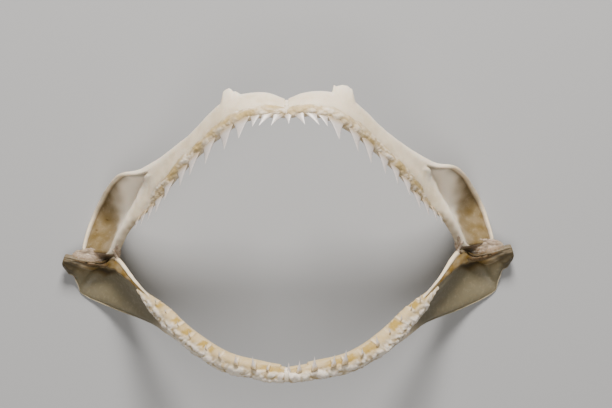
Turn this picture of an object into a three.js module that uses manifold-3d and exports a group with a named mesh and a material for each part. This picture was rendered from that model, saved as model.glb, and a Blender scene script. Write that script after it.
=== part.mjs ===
// The dried jaws of a requiem shark, spread open and lying on their back with the teeth up.
// Millimetres. X runs across the jaws, +Y from the lower jaw to the upper jaw, +Z up from the table
// that they lie on. Each jaw is two cartilages, left and right, joined in front by a symphysis. A
// gum with the teeth in it wraps the mouth edge of each cartilage. A ligament ties each jaw joint.

import * as THREE from "three";
import { LoftGeometry } from "three/addons/geometries/LoftGeometry.js";
import { mergeVertices } from "three/addons/utils/BufferGeometryUtils.js";
import Module from "manifold-3d";

const wasm = await Module();
wasm.setup();

const CLEARANCE = 0.3; // between two pieces that touch
const GUM_CLEARANCE = 0.5; // under a gum, whose corners do not all meet those of the cartilage
const SYMPHYSIS_HALF_WIDTH = 0.9;
const SYMPHYSIS_SUNK = 0.8; // below the cartilages on both sides
const JAW_POINTS = 14; // round a section of cartilage
const SECTIONS_PER_STATION = 3;
const END_TAPER = 0.35; // of the last section, at the joint
const ROOM = 400; // the size of a box that reaches past the jaws on every side

// The level of the table in the stations' measure, and the middle of the jaws' box along Y.
const TABLE = 2.3;
const MIDDLE_Y = -0.2;

// The jaws dried a little askew: on the +X side the upper jaw and the joint sit higher, and the
// front of the lower jaw is wider.
const SKEW = { slope: 0.046, fromY: -45, toY: -8 };
const WIDER = { share: 0.05, fromY: -45, toY: -60 };

// One row for each station along a half jaw, from the symphysis to the joint.
// mouth and back: the ends of the section, [out from the midline, Y, Z], which are the gum's crest
// and the far edge of the cartilage.
// gum: the crest's height over the cartilage, and the share of the outer face that gum hides.
// thick: the cartilage's thickness at the ridge near the mouth, in the plate and at the far rim.
// dish: how deep the outer face is hollowed, and how far the far edge turns out.
const UPPER_STATIONS = [
  { mouth: [0, 57.2, 90.2], back: [0, 65.4, 81.6], gum: [1.8, 0.36], thick: [7, 7, 6] },
  { mouth: [13, 57, 90.9], back: [12.4, 69.2, 80.6], gum: [1.8, 0.36], thick: [8, 8, 6.5] },
  { mouth: [25.8, 52.4, 86.8], back: [30.6, 65.6, 75], gum: [2, 0.34], thick: [8.5, 8, 6.5] },
  { mouth: [43.6, 39, 71.7], back: [51.2, 47.4, 57.7], gum: [2.2, 0.32], thick: [8.5, 8, 6.5] },
  {
    mouth: [59.2, 23.8, 55.7],
    back: [73.8, 32.8, 37],
    gum: [2, 0.24],
    thick: [8.5, 6, 5],
    dish: [1.5, 1],
  },
  {
    mouth: [66.4, 14.8, 46.2],
    back: [87.6, 28.8, 24.2],
    gum: [1.6, 0.2],
    thick: [8.5, 3.6, 4.4],
    dish: [4, 2.6],
  },
  {
    mouth: [81, 1, 31.6],
    back: [102.4, 9.8, 1.4],
    gum: [1, 0.16],
    thick: [8.5, 3.2, 4],
    dish: [4.6, 1.2],
  },
  {
    mouth: [89.2, -12.4, 18],
    back: [109.4, -10.4, 6.6],
    gum: [0.8, 0.16],
    thick: [10, 8, 7],
    dish: [0.6, 0],
  },
];
const LOWER_STATIONS = [
  { mouth: [0, -67.8, 88.6], back: [0, -72.8, 82.2], gum: [1.2, 0.6], thick: [6.5, 6.5, 6] },
  { mouth: [13, -65.4, 86.4], back: [14.2, -69.9, 77.2], gum: [3.4, 0.62], thick: [6.5, 7, 6] },
  { mouth: [30.2, -61.4, 82], back: [31.8, -66.1, 69], gum: [3.8, 0.66], thick: [6.5, 7, 6] },
  {
    mouth: [47.8, -51.4, 66.8],
    back: [53.2, -56.5, 48.4],
    gum: [3.8, 0.7],
    thick: [6.5, 6, 5],
    dish: [1, 0],
  },
  {
    mouth: [64.4, -37, 47.6],
    back: [73.2, -47.8, 24.6],
    gum: [3.6, 0.5],
    thick: [7, 4, 4],
    dish: [2.6, 0],
  },
  {
    mouth: [78.6, -25.4, 31.4],
    back: [94, -41, 6.4],
    gum: [2.8, 0.26],
    thick: [7, 3.4, 3.6],
    dish: [4, 0.6],
  },
  {
    mouth: [89.8, -13, 17.6],
    back: [110, -34, 1.2],
    gum: [0.8, 0.2],
    thick: [8, 3.4, 3.8],
    dish: [4, 1.4],
  },
  {
    mouth: [98.6, -15, 15.2],
    back: [113.6, -27.4, 4.4],
    gum: [0.8, 0.2],
    thick: [9, 5, 4.6],
    dish: [1.6, 0],
  },
  { mouth: [118, -11, 12.8], back: [120.4, -18.6, 8.6], gum: [0.8, 0.2], thick: [8, 7.4, 6] },
];

// Where in the depth of a section, as a share of it, the ridge and the rim are, and how broad.
const RIDGE = { at: 0.2, width: 0.24 };
const RIM = { at: 0.96, width: 0.14 };

// The power of the sine that rounds an edge of the cartilage: more is sharper.
const ROUND_EDGE = 0.7;
const SHARP_EDGE = 1.4;

// A knob on the far edge of the upper cartilage, which slid along the skull. It stands higher on
// the left side, and its tip has broken off on both.
const ORBITAL_PROCESS = {
  station: { left: 1.9, right: 2.04 },
  sunk: 4,
  height: { left: 5.2, right: 4.4 },
  footRadius: 5.4,
  tipRadius: 3.4,
  up: [0, 0.93, -0.36],
  sides: 8,
};

// A gum's thickness on the outer and the inner face, how far it reaches down the inner one, and the
// angles over which its crest thins inward and its inner pad swells.
const UPPER_GUM = {
  lastStation: 17 / 3,
  outer: 1.4,
  inner: 1,
  innerReach: 12,
  crestInward: 0.2,
  swell: 1.6,
};
const LOWER_GUM = {
  lastStation: 5,
  outer: 2.2,
  inner: 1.6,
  innerReach: 11,
  crestInward: 0.5,
  swell: 0.01,
};

// Every gum is at least so thick. Its faces thin by these shares towards its lower edges and, from
// a station on, towards the joint. Over the outer face its crest thins within an angle.
const LEAST_GUM = 0.5;
const GUM_EDGE_THINNING = 0.6;
const GUM_END = { thinning: 0.6, fromStation: 4 };
const CREST_OUTWARD = 0.5;
const LEAST_GUM_STEPS = 2.2; // that it reaches down a face, in steps of the cartilage's outline
const MOST_INNER_SHARE = 0.6; // of the inner face that it hides

// The teeth of a half jaw: how far out from the midline each stands, and how much further on the
// left side and less far on the right, the largest one's size, the way they point, and where in the
// section they are rooted.
const UPPER_TEETH = {
  out: [5.4, 11, 17.2, 24, 32.2, 40.2, 47.7, 53.6, 60, 65.2, 69.8, 73.8, 77],
  shift: 0.9,
  length: 11,
  width: 7,
  thickness: 2.4,
  rise: [0, -0.87, 0.5],
  sunk: 0.4,
  forward: 1.4,
};
const LOWER_TEETH = {
  out: [3.9, 12, 20.4, 28.3, 36.5, 44.5, 51, 57, 62.4, 67.4, 72],
  shift: 0,
  length: 9,
  width: 3.4,
  thickness: 2,
  rise: [0, 0.94, 0.34],
  sunk: 5,
  forward: 3.5,
};

// Teeth are smaller by these shares at the joint and next to the symphysis, where they also lean
// out more.
const SMALLER = { atJoint: 0.58, inFront: 0.26 };
const LEAN = { all: 0.16, atJoint: 0.26, inFront: 0.4 };
const FRONT_TEETH = 0.14; // the share of the row that is next to the symphysis
const TOOTH_SIDES = 6;
const TOOTH_PROFILE = [
  [0, -0.2],
  [0.5, -0.04],
  [0.27, 0.42],
  [0, 1],
]; // from the root to the tip: out, as a share of the width, and up, of the length

// The small tooth over the upper symphysis, next to the largest, and the room left round it.
const MEDIAN_TOOTH_SIZE = 0.6;
const MEDIAN_TOOTH_ROOM = 0.12;

// The ligament of a joint, as ellipses along a bent line.
const LIGAMENT = [
  { at: [90.2, -10.6, 15.5], wide: 2.4, high: 4.6 },
  { at: [92.6, -16.2, 13.4], wide: 3.8, high: 5.2 },
  { at: [99, -16.4, 12], wide: 4.6, high: 5.4 },
  { at: [106, -15, 10.6], wide: 4.4, high: 5 },
  { at: [113, -13.6, 9.5], wide: 3, high: 3.4 },
];
const LIGAMENT_POINTS = 9; // round a section of it
const LIGAMENT_FOLDS = 5;
const FOLD_DEPTH = 0.07; // as a share of its size

const finish = (color, roughness) =>
  new THREE.MeshStandardMaterial({ color, roughness, metalness: 0 });
const cartilageFinish = finish(0xe6dcc8, 0.55);
const gumFinish = finish(0xd9cdb6, 0.7);
const ligamentFinish = finish(0xc3aa80, 0.75);

const bell = (x, width) => Math.exp(-((x / width) ** 2));

// A point of a half jaw, put on its own side of the midline and skewed.
function placed(point, side) {
  const [y, z] = [point.y - MIDDLE_Y, point.z - TABLE];
  if (side < 0) return new THREE.Vector3(-point.x, y, z);
  const rise = SKEW.slope * point.x * THREE.MathUtils.smoothstep(point.y, SKEW.fromY, SKEW.toY);
  const widening = 1 + WIDER.share * THREE.MathUtils.smoothstep(-point.y, -WIDER.fromY, -WIDER.toY);
  return new THREE.Vector3(point.x * widening, y + rise, z);
}

// A whole geometry of a half jaw, put in its place in the same way.
function placedGeometry(geometry, side) {
  const { position } = geometry.attributes;
  for (let i = 0; i < position.count; i++) {
    const point = placed(new THREE.Vector3().fromBufferAttribute(position, i), side);
    position.setXYZ(i, point.x, point.y, point.z);
  }
  if (side < 0) geometry.index.array.reverse();
  return geometry;
}

// A half jaw as curves through its stations. outward is 1 where the outer face lies to the side of
// the tangent crossed with the section, and -1 in the other jaw. innerEdge is how the inner face
// slopes away from the mouth edge.
function halfJaw(stations, outward, innerEdge) {
  const last = stations.length - 1;
  const through = (pick) =>
    new THREE.CatmullRomCurve3(
      stations.map((station) => new THREE.Vector3(...pick(station))),
      false,
      "catmullrom",
    );
  const mouth = through((station) => station.mouth);
  const back = through((station) => station.back);
  const thickness = through((station) => station.thick);
  const form = through(({ gum, dish = [0, 0] }) => [gum[0], ...dish]);
  const covered = through(({ gum }) => [gum[1], 0, 0]);

  // The section at a station: its mouth end, its two directions and its sizes.
  function section(station) {
    const t = station / last;
    const start = mouth.getPoint(t);
    const across = back.getPoint(t).sub(start);
    const depth = across.length();
    across.normalize();
    const tangent = mouth.getTangent(t).add(back.getTangent(t)).normalize();
    const outer = tangent.clone().cross(across).multiplyScalar(outward).normalize();
    const [ridge, plate, rim] = thickness.getPoint(t).toArray();
    const [gum, hollow, flare] = form.getPoint(t).toArray();
    const cover = covered.getPoint(t).x;
    const sizes = { depth, ridge, plate, rim, gum, cover, hollow, flare, innerEdge };
    return { station, start, across, outer, tangent, ...sizes };
  }

  // The station at which the mouth edge is so far out from the midline.
  function stationAt(out) {
    let [near, far] = [0, 1];
    for (let halving = 0; halving < 30; halving++) {
      const middle = (near + far) / 2;
      if (mouth.getPoint(middle).x < out) near = middle;
      else far = middle;
    }
    return near * last;
  }
  return { last, section, stationAt };
}

// A point of the cartilage's outline: how far it is from the gum's crest, and how far to the outer
// side. angle runs from 0 at the mouth over the outer face to PI at the far edge, and on over the
// inner face. grow thickens the cartilage all round.
function outlinePoint(section, angle, grow = 0) {
  const share = (1 - Math.cos(angle)) / 2;
  const from = section.gum - grow;
  const to = section.depth + grow;
  const thickness =
    section.plate +
    (section.ridge - section.plate) * bell(share - RIDGE.at, RIDGE.width) +
    (section.rim - section.plate) * bell(share - RIM.at, RIM.width) +
    2 * grow;
  const middle = section.flare * share ** 4 - section.hollow * Math.sin(Math.PI * share) ** 2;
  const sine = Math.sin(angle);
  const edge = sine < 0 && share < 0.5 ? section.innerEdge : ROUND_EDGE;
  const bulge = Math.sign(sine) * Math.abs(sine) ** edge;
  return new THREE.Vector2(from + (to - from) * share, middle + (thickness / 2) * bulge);
}

// The way out of the cartilage at an angle of its outline.
function outlineNormal(section, angle) {
  const step = 0.05;
  const along = outlinePoint(section, angle + step).sub(outlinePoint(section, angle - step));
  return new THREE.Vector2(-along.y, along.x).normalize();
}

function inSpace(section, point) {
  return section.start
    .clone()
    .addScaledVector(section.across, point.x)
    .addScaledVector(section.outer, point.y);
}

// A closed solid of a closed geometry.
function solidOf(geometry) {
  const plain = new THREE.BufferGeometry()
    .setAttribute("position", geometry.attributes.position)
    .setIndex(geometry.index);
  const merged = mergeVertices(plain, 1e-4);
  const corners = merged.index.array;
  const kept = [];
  for (let i = 0; i < corners.length; i += 3) {
    const [a, b, c] = corners.slice(i, i + 3);
    if (a !== b && b !== c && c !== a) kept.push(a, b, c);
  }
  const vertProperties = new Float32Array(merged.attributes.position.array);
  const triVerts = new Uint32Array(kept);
  return new wasm.Manifold(new wasm.Mesh({ numProp: 3, vertProperties, triVerts }));
}

// A loft through closed sections, each turned so that the loft's faces point out.
function loft(sections) {
  const [first, second] = sections;
  const facing = new THREE.Vector3();
  first.forEach((point, i) => facing.add(point.clone().cross(first[(i + 1) % first.length])));
  const inward = facing.dot(second[0].clone().sub(first[0])) < 0;
  const turned = inward ? sections.map((section) => [...section].reverse()) : sections;
  return solidOf(new LoftGeometry(turned, { capStart: true, capEnd: true }));
}

function stationsUpTo(last) {
  const length = last * SECTIONS_PER_STATION + 1;
  return Array.from({ length }, (_, i) => i / SECTIONS_PER_STATION);
}

// The cartilage's outline at a station, as points in space.
function cartilageOutline(section, grow) {
  return Array.from({ length: JAW_POINTS }, (_, i) =>
    inSpace(section, outlinePoint(section, (2 * Math.PI * i) / JAW_POINTS, grow)),
  );
}

// The cartilage of a half jaw. Its last section, at the joint, is drawn in to round the end.
function cartilage(jaw, side, grow = 0) {
  const outlines = stationsUpTo(jaw.last).map((station) => {
    const outline = cartilageOutline(jaw.section(station), grow);
    const middle = outline.reduce((sum, point) => sum.add(point), new THREE.Vector3());
    middle.divideScalar(outline.length);
    const drawnIn = station === jaw.last ? END_TAPER : 0;
    return outline.map((point) => placed(point.lerp(middle, drawnIn), side));
  });
  return loft(outlines);
}

// The orbital process: a stump with its foot in the far edge of the cartilage.
function orbitalProcess(jaw, name, side) {
  const { station, sunk, height, footRadius, tipRadius, up, sides } = ORBITAL_PROCESS;
  const section = jaw.section(station[name]);
  const length = sunk + height[name];
  const foot = inSpace(section, new THREE.Vector2(section.depth - sunk, 0));
  const turn = new THREE.Quaternion().setFromUnitVectors(
    new THREE.Vector3(0, 1, 0),
    new THREE.Vector3(...up).normalize(),
  );
  const geometry = new THREE.CylinderGeometry(tipRadius, footRadius, length, sides)
    .translate(0, length / 2, 0)
    .applyQuaternion(turn)
    .translate(foot.x, foot.y, foot.z);
  return solidOf(placedGeometry(geometry, side));
}

// The angles at which the gum is drawn: those of the cartilage round the mouth edge, then on to as
// far as it reaches down the outer and the inner face.
function gumAngles(section, gum) {
  const step = (2 * Math.PI) / JAW_POINTS;
  const angleAt = (share) => Math.max(LEAST_GUM_STEPS * step, Math.acos(1 - 2 * share));
  const outer = angleAt(section.cover);
  const inner = angleAt(Math.min(MOST_INNER_SHARE, gum.innerReach / section.depth));
  return [outer, outer / 2 + step, 2 * step, step, 0, -step, -2 * step, -inner / 2 - step, -inner];
}

// The gum's outline: a crest over the mouth edge that thins down both faces of the cartilage.
function gumOutline(section, gum) {
  const angles = gumAngles(section, gum);
  const { smoothstep } = THREE.MathUtils;
  const toEnd = smoothstep(section.station, GUM_END.fromStation, gum.lastStation);
  const atEnd = 1 - GUM_END.thinning * toEnd;
  const thickness = (angle) => {
    const outer = angle > 0;
    const [reach, face] = outer ? [angles[0], gum.outer] : [angles.at(-1), gum.inner];
    const crestWidth = outer ? CREST_OUTWARD : gum.crestInward;
    const crest = (section.gum - GUM_CLEARANCE) * bell(angle, crestWidth);
    const swell = outer ? 1 : smoothstep(-angle, 0, gum.swell);
    const toEdge = 1 - GUM_EDGE_THINNING * (angle / reach) ** 2;
    return Math.max(LEAST_GUM, crest, face * atEnd * swell * toEdge);
  };
  const off = (angle, distance) =>
    outlinePoint(section, angle).addScaledVector(outlineNormal(section, angle), distance);
  const outside = angles.map((angle) => off(angle, GUM_CLEARANCE + thickness(angle)));
  const inside = angles.map((angle) => off(angle, GUM_CLEARANCE)).reverse();
  return [...outside, ...inside].map((point) => inSpace(section, point));
}

// A tooth along +Y: a flattened spike with a broad base and hollow edges.
function toothGeometry(length, width, thickness) {
  const profile = TOOTH_PROFILE.map(([out, up]) => new THREE.Vector2(out * width, up * length));
  return new THREE.LatheGeometry(profile, TOOTH_SIDES).scale(1, 1, thickness / width);
}

// A tooth stood in a section, leaning out from the midline.
function tooth(section, teeth, size, lean, side) {
  const up = new THREE.Vector3(...teeth.rise).setX(lean).normalize();
  const face = section.outer.clone().addScaledVector(up, -section.outer.dot(up)).normalize();
  const wide = up.clone().cross(face);
  const root = inSpace(section, new THREE.Vector2(teeth.sunk, teeth.forward));
  const geometry = toothGeometry(size * teeth.length, size * teeth.width, size * teeth.thickness);
  geometry.applyMatrix4(new THREE.Matrix4().makeBasis(wide, up, face).setPosition(root));
  return solidOf(placedGeometry(geometry, side));
}

// The gum of a half jaw with its row of teeth. The teeth are cut clear of the cartilage.
function gumWithTeeth(jaw, gum, teeth, side) {
  const outlines = stationsUpTo(gum.lastStation).map((station) =>
    gumOutline(jaw.section(station), gum).map((point) => placed(point, side)),
  );
  const clear = cartilage(jaw, side, CLEARANCE);
  const row = teeth.out.map((out, i) => {
    const share = i / (teeth.out.length - 1);
    const front = bell(share, FRONT_TEETH);
    const size = 1 - SMALLER.atJoint * share ** 2 - SMALLER.inFront * front;
    const lean = LEAN.all + LEAN.atJoint * share ** 2 + LEAN.inFront * front;
    const section = jaw.section(jaw.stationAt(out + side * teeth.shift));
    return tooth(section, teeth, size, lean, side).subtract(clear);
  });
  return row.reduce((made, solid) => made.add(solid), loft(outlines));
}

// The pad between two cartilages and their gums, a little sunk below both.
function symphysis(jaw) {
  const section = jaw.section(0);
  const depth = section.depth - SYMPHYSIS_SUNK;
  const outline = cartilageOutline({ ...section, gum: SYMPHYSIS_SUNK, depth }, 0);
  const across = [-SYMPHYSIS_HALF_WIDTH, SYMPHYSIS_HALF_WIDTH];
  return loft(across.map((x) => outline.map((point) => placed(point, 1).setX(x))));
}

// The dried ligament of a joint, drawn into folds.
function ligament(side) {
  const path = new THREE.CatmullRomCurve3(LIGAMENT.map(({ at }) => new THREE.Vector3(...at)));
  const sizes = new THREE.CatmullRomCurve3(
    LIGAMENT.map(({ wide, high }) => new THREE.Vector3(wide, high, 0)),
  );
  const steps = 2 * LIGAMENT_FOLDS;
  const outlines = Array.from({ length: steps + 1 }, (_, i) => {
    const middle = path.getPoint(i / steps);
    const size = sizes.getPoint(i / steps).multiplyScalar(1 + FOLD_DEPTH * (-1) ** i);
    const along = path.getTangent(i / steps);
    const up = new THREE.Vector3(0, 0, 1).addScaledVector(along, -along.z).normalize();
    const wide = along.clone().cross(up);
    return Array.from({ length: LIGAMENT_POINTS }, (_, j) => {
      const angle = (2 * Math.PI * j) / LIGAMENT_POINTS;
      const point = middle
        .clone()
        .addScaledVector(wide, size.x * Math.cos(angle))
        .addScaledVector(up, size.y * Math.sin(angle));
      return placed(point, side);
    });
  });
  return loft(outlines);
}

// A named piece: the largest body of a solid, with its finish.
function piece(name, solid, finish) {
  const [largest] = solid.decompose().sort((a, b) => b.volume() - a.volume());
  const { numProp, numVert, vertProperties, triVerts } = largest.getMesh();
  const positions = new Float32Array(numVert * 3);
  for (let i = 0; i < numVert; i++)
    positions.set(vertProperties.subarray(i * numProp, i * numProp + 3), i * 3);
  const geometry = new THREE.BufferGeometry()
    .setAttribute("position", new THREE.BufferAttribute(positions, 3))
    .setIndex(new THREE.BufferAttribute(triVerts, 1));
  geometry.computeVertexNormals();
  const mesh = new THREE.Mesh(geometry, finish);
  mesh.name = name;
  return mesh;
}

const upper = halfJaw(UPPER_STATIONS, 1, SHARP_EDGE);
const lower = halfJaw(LOWER_STATIONS, -1, ROUND_EDGE);
const gapWidth = 2 * (SYMPHYSIS_HALF_WIDTH + CLEARANCE);
const gap = solidOf(new THREE.BoxGeometry(gapWidth, ROOM, ROOM));
const table = solidOf(new THREE.BoxGeometry(ROOM, ROOM, ROOM).translate(0, 0, -ROOM / 2));

const medianSized = (size) => tooth(upper.section(0), UPPER_TEETH, size, 0, 1);
const medianTooth = medianSized(MEDIAN_TOOTH_SIZE);
const medianClear = medianSized(MEDIAN_TOOTH_SIZE + MEDIAN_TOOTH_ROOM);

const jaws = new THREE.Group();
for (const [name, side] of [
  ["left", 1],
  ["right", -1],
]) {
  const upperClear = cartilage(upper, side, CLEARANCE);
  const upperBody = cartilage(upper, side).add(orbitalProcess(upper, name, side));
  const upperCartilage = upperBody.subtract(gap).subtract(table);
  const lowerCartilage = cartilage(lower, side).subtract(upperClear).subtract(gap).subtract(table);
  const upperRow = gumWithTeeth(upper, UPPER_GUM, UPPER_TEETH, side);
  const upperGum = upperRow.subtract(gap).subtract(medianClear);
  const lowerGum = gumWithTeeth(lower, LOWER_GUM, LOWER_TEETH, side).subtract(gap);
  const joint = ligament(side).subtract(upperClear).subtract(cartilage(lower, side, CLEARANCE));
  jaws.add(piece(`upper_cartilage_${name}`, upperCartilage, cartilageFinish));
  jaws.add(piece(`lower_cartilage_${name}`, lowerCartilage, cartilageFinish));
  jaws.add(piece(`upper_gum_${name}`, upperGum, gumFinish));
  jaws.add(piece(`lower_gum_${name}`, lowerGum, gumFinish));
  jaws.add(piece(`jaw_joint_${name}`, joint, ligamentFinish));
}
jaws.add(piece("upper_symphysis", symphysis(upper).add(medianTooth), gumFinish));
jaws.add(piece("lower_symphysis", symphysis(lower), gumFinish));

export default jaws;
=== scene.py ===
"""The dried, spread jaws of a requiem shark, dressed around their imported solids.

Sizes are in millimetres and become metres where a mesh is made. X runs across the jaws, +Y from
the lower jaw to the upper jaw, and +Z up from the table that they lie on.
"""

from __future__ import annotations

import logging
import math
from dataclasses import dataclass, field, replace
from enum import Enum
from typing import Callable, Sequence

import bmesh
import bpy
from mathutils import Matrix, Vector, noise
from mathutils.bvhtree import BVHTree


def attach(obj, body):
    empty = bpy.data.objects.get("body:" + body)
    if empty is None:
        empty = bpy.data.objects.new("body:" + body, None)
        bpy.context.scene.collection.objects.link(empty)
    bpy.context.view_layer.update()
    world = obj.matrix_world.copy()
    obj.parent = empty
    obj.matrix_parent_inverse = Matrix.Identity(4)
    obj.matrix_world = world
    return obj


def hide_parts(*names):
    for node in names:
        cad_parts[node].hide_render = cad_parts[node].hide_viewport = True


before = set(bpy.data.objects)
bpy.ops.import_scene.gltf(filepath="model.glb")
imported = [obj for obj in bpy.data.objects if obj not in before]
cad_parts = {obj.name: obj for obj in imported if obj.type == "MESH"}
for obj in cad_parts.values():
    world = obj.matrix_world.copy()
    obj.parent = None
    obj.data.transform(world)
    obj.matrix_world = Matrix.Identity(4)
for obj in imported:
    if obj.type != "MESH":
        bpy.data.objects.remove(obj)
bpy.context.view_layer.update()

LOG = logging.getLogger("shark_jaw")
MM = 0.001
TABLE = 2.3
MIDDLE_Y = -0.2
SKEW_SLOPE = 0.046
SKEW_FROM_Y, SKEW_TO_Y = -45.0, -8.0
WIDER_SHARE = 0.05
WIDER_FROM_Y, WIDER_TO_Y = 45.0, 60.0
GAP = 0.9


class Side(Enum):
    """A side of the shark, with the sign of its X."""

    LEFT = 1
    RIGHT = -1

    @property
    def word(self) -> str:
        """The side's name in the names of the nodes."""
        return self.name.lower()


class Mask(Enum):
    """What a point attribute marks on a surface, for the finishes to colour."""

    # The first mask marks real stains and also painted shade; the second marks painted shade in
    # hollows, creases and under overhangs, with a few real dark spots; the third marks real pale
    # parts and painted highlights, and painted shade on the lower jaws' plates.
    STAIN = "stain"
    RECESS = "recess"
    BLEACH = "bleach"


# ---- numbers and curves ----


def smoothstep(low: float, high: float, value: float) -> float:
    """Eases from 0 at low to 1 at high."""
    share = min(max((value - low) / (high - low), 0.0), 1.0)
    return share * share * (3 - 2 * share)


def bell(value: float, width: float) -> float:
    """A bell curve, 1 at 0."""
    return math.exp(-((value / width) ** 2))


def past(edge: float, soft: tuple[float, float], value: float) -> float:
    """Eases from 0 to 1 past an edge, over the widths before and after it."""
    return smoothstep(edge - soft[0], edge + soft[1], value)


def between(rows: Sequence[tuple[float, float]], place: float) -> float:
    """Reads a value off a smooth run between rows.

    Args:
        rows: Pairs of a place and its value, in order of place.
        place: Where to read.

    Returns:
        The value there, or that of the nearest end.
    """
    for (low, first), (high, second) in zip(rows, rows[1:]):
        if place <= high:
            return first + (second - first) * smoothstep(low, high, place)
    return rows[-1][1]


@dataclass(frozen=True)
class Curve:
    """A smooth curve through points."""

    points: tuple[Vector, ...]

    STEP = 0.0001

    @classmethod
    def through(cls, points: Sequence[Sequence[float]]) -> "Curve":
        """Makes the curve through these points."""
        return cls(tuple(Vector(point) for point in points))

    def at(self, share: float) -> Vector:
        """Finds a point of the curve.

        Args:
            share: The share of the way, from 0 to 1.

        Returns:
            The point.
        """
        last = len(self.points) - 1
        place = min(max(share, 0.0), 1.0) * last
        index = min(int(place), last - 1)
        w = place - index
        b, c = self.points[index], self.points[index + 1]
        a = self.points[index - 1] if index > 0 else 2 * b - c
        d = self.points[index + 2] if index + 2 <= last else 2 * c - b
        out, into = (c - a) / 2, (d - b) / 2
        return (
            b
            + out * w
            + (3 * (c - b) - 2 * out - into) * w**2
            + (2 * (b - c) + out + into) * w**3
        )

    def tangent(self, share: float) -> Vector:
        """Gives the direction at a share of the way."""
        return (self.at(share + self.STEP) - self.at(share - self.STEP)).normalized()


# ---- the half jaws ----


@dataclass(frozen=True)
class Station:
    """One section of a half jaw.

    mouth and back are its ends, which are the gum's crest and the cartilage's far edge. gum is the
    crest's height and the share of the outer face that it hides. thick is the thickness at the
    ridge, in the plate and at the rim. dish is how deep the outer face is hollowed and how far the
    far edge turns out.
    """

    mouth: tuple[float, float, float]
    back: tuple[float, float, float]
    gum: tuple[float, float]
    thick: tuple[float, float, float]
    dish: tuple[float, float] = (0.0, 0.0)


UPPER_STATIONS = (
    Station((0, 57.2, 90.2), (0, 65.4, 81.6), (1.8, 0.36), (7, 7, 6)),
    Station((13, 57, 90.9), (12.4, 69.2, 80.6), (1.8, 0.36), (8, 8, 6.5)),
    Station((25.8, 52.4, 86.8), (30.6, 65.6, 75), (2, 0.34), (8.5, 8, 6.5)),
    Station((43.6, 39, 71.7), (51.2, 47.4, 57.7), (2.2, 0.32), (8.5, 8, 6.5)),
    Station((59.2, 23.8, 55.7), (73.8, 32.8, 37), (2, 0.24), (8.5, 6, 5), (1.5, 1)),
    Station((66.4, 14.8, 46.2), (87.6, 28.8, 24.2), (1.6, 0.2), (8.5, 3.6, 4.4), (4, 2.6)),
    Station((81, 1, 31.6), (102.4, 9.8, 1.4), (1, 0.16), (8.5, 3.2, 4), (4.6, 1.2)),
    Station((89.2, -12.4, 18), (109.4, -10.4, 6.6), (0.8, 0.16), (10, 8, 7), (0.6, 0)),
)
LOWER_STATIONS = (
    Station((0, -67.8, 88.6), (0, -72.8, 82.2), (1.2, 0.6), (6.5, 6.5, 6)),
    Station((13, -65.4, 86.4), (14.2, -69.9, 77.2), (3.4, 0.62), (6.5, 7, 6)),
    Station((30.2, -61.4, 82), (31.8, -66.1, 69), (3.8, 0.66), (6.5, 7, 6)),
    Station((47.8, -51.4, 66.8), (53.2, -56.5, 48.4), (3.8, 0.7), (6.5, 6, 5), (1, 0)),
    Station((64.4, -37, 47.6), (73.2, -47.8, 24.6), (3.6, 0.5), (7, 4, 4), (2.6, 0)),
    Station((78.6, -25.4, 31.4), (94, -41, 6.4), (2.8, 0.26), (7, 3.4, 3.6), (4, 0.6)),
    Station((89.8, -13, 17.6), (110, -34, 1.2), (0.8, 0.2), (8, 3.4, 3.8), (4, 1.4)),
    Station((98.6, -15, 15.2), (113.6, -27.4, 4.4), (0.8, 0.2), (9, 5, 4.6), (1.6, 0)),
    Station((118, -11, 12.8), (120.4, -18.6, 8.6), (0.8, 0.2), (8, 7.4, 6)),
)


@dataclass(frozen=True)
class Section:
    """The section of a half jaw at one station, in its own frame."""

    station: float
    start: Vector
    across: Vector
    outer: Vector
    tangent: Vector
    depth: float
    thick: Vector
    gum: float
    cover: float
    hollow: float
    flare: float
    inner_edge: float

    ROUND_EDGE = 0.7
    RIDGE = (0.2, 0.24)
    RIM = (0.96, 0.14)
    STEP = 0.05

    def outline(self, angle: float, gum: float | None = None) -> Vector:
        """Gives a point of the cartilage's outline.

        Args:
            angle: 0 at the mouth, over the outer face to pi at the far edge, and on over the
                inner face.
            gum: The depth of the first point below the crest, if it isn't the station's own.

        Returns:
            The distance from the gum's crest, and the distance to the outer side.
        """
        share = (1 - math.cos(angle)) / 2
        start = self.gum if gum is None else gum
        ridge, plate, rim = self.thick
        thickness = (
            plate
            + (ridge - plate) * bell(share - self.RIDGE[0], self.RIDGE[1])
            + (rim - plate) * bell(share - self.RIM[0], self.RIM[1])
        )
        middle = self.flare * share**4 - self.hollow * math.sin(math.pi * share) ** 2
        sine = math.sin(angle)
        edge = self.inner_edge if sine < 0 and share < 0.5 else self.ROUND_EDGE
        bulge = math.copysign(abs(sine) ** edge, sine)
        return Vector((start + (self.depth - start) * share, middle + thickness / 2 * bulge))

    def normal(self, angle: float) -> Vector:
        """Gives the way out of the cartilage at an angle of its outline."""
        along = self.outline(angle + self.STEP) - self.outline(angle - self.STEP)
        return Vector((-along.y, along.x)).normalized()

    def at(self, point: Vector) -> Vector:
        """Puts a point of the section in space."""
        return self.start + self.across * point.x + self.outer * point.y

    def turned(self, normal: Vector) -> Vector:
        """Puts a direction of the section in space."""
        return self.across * normal.x + self.outer * normal.y


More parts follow.
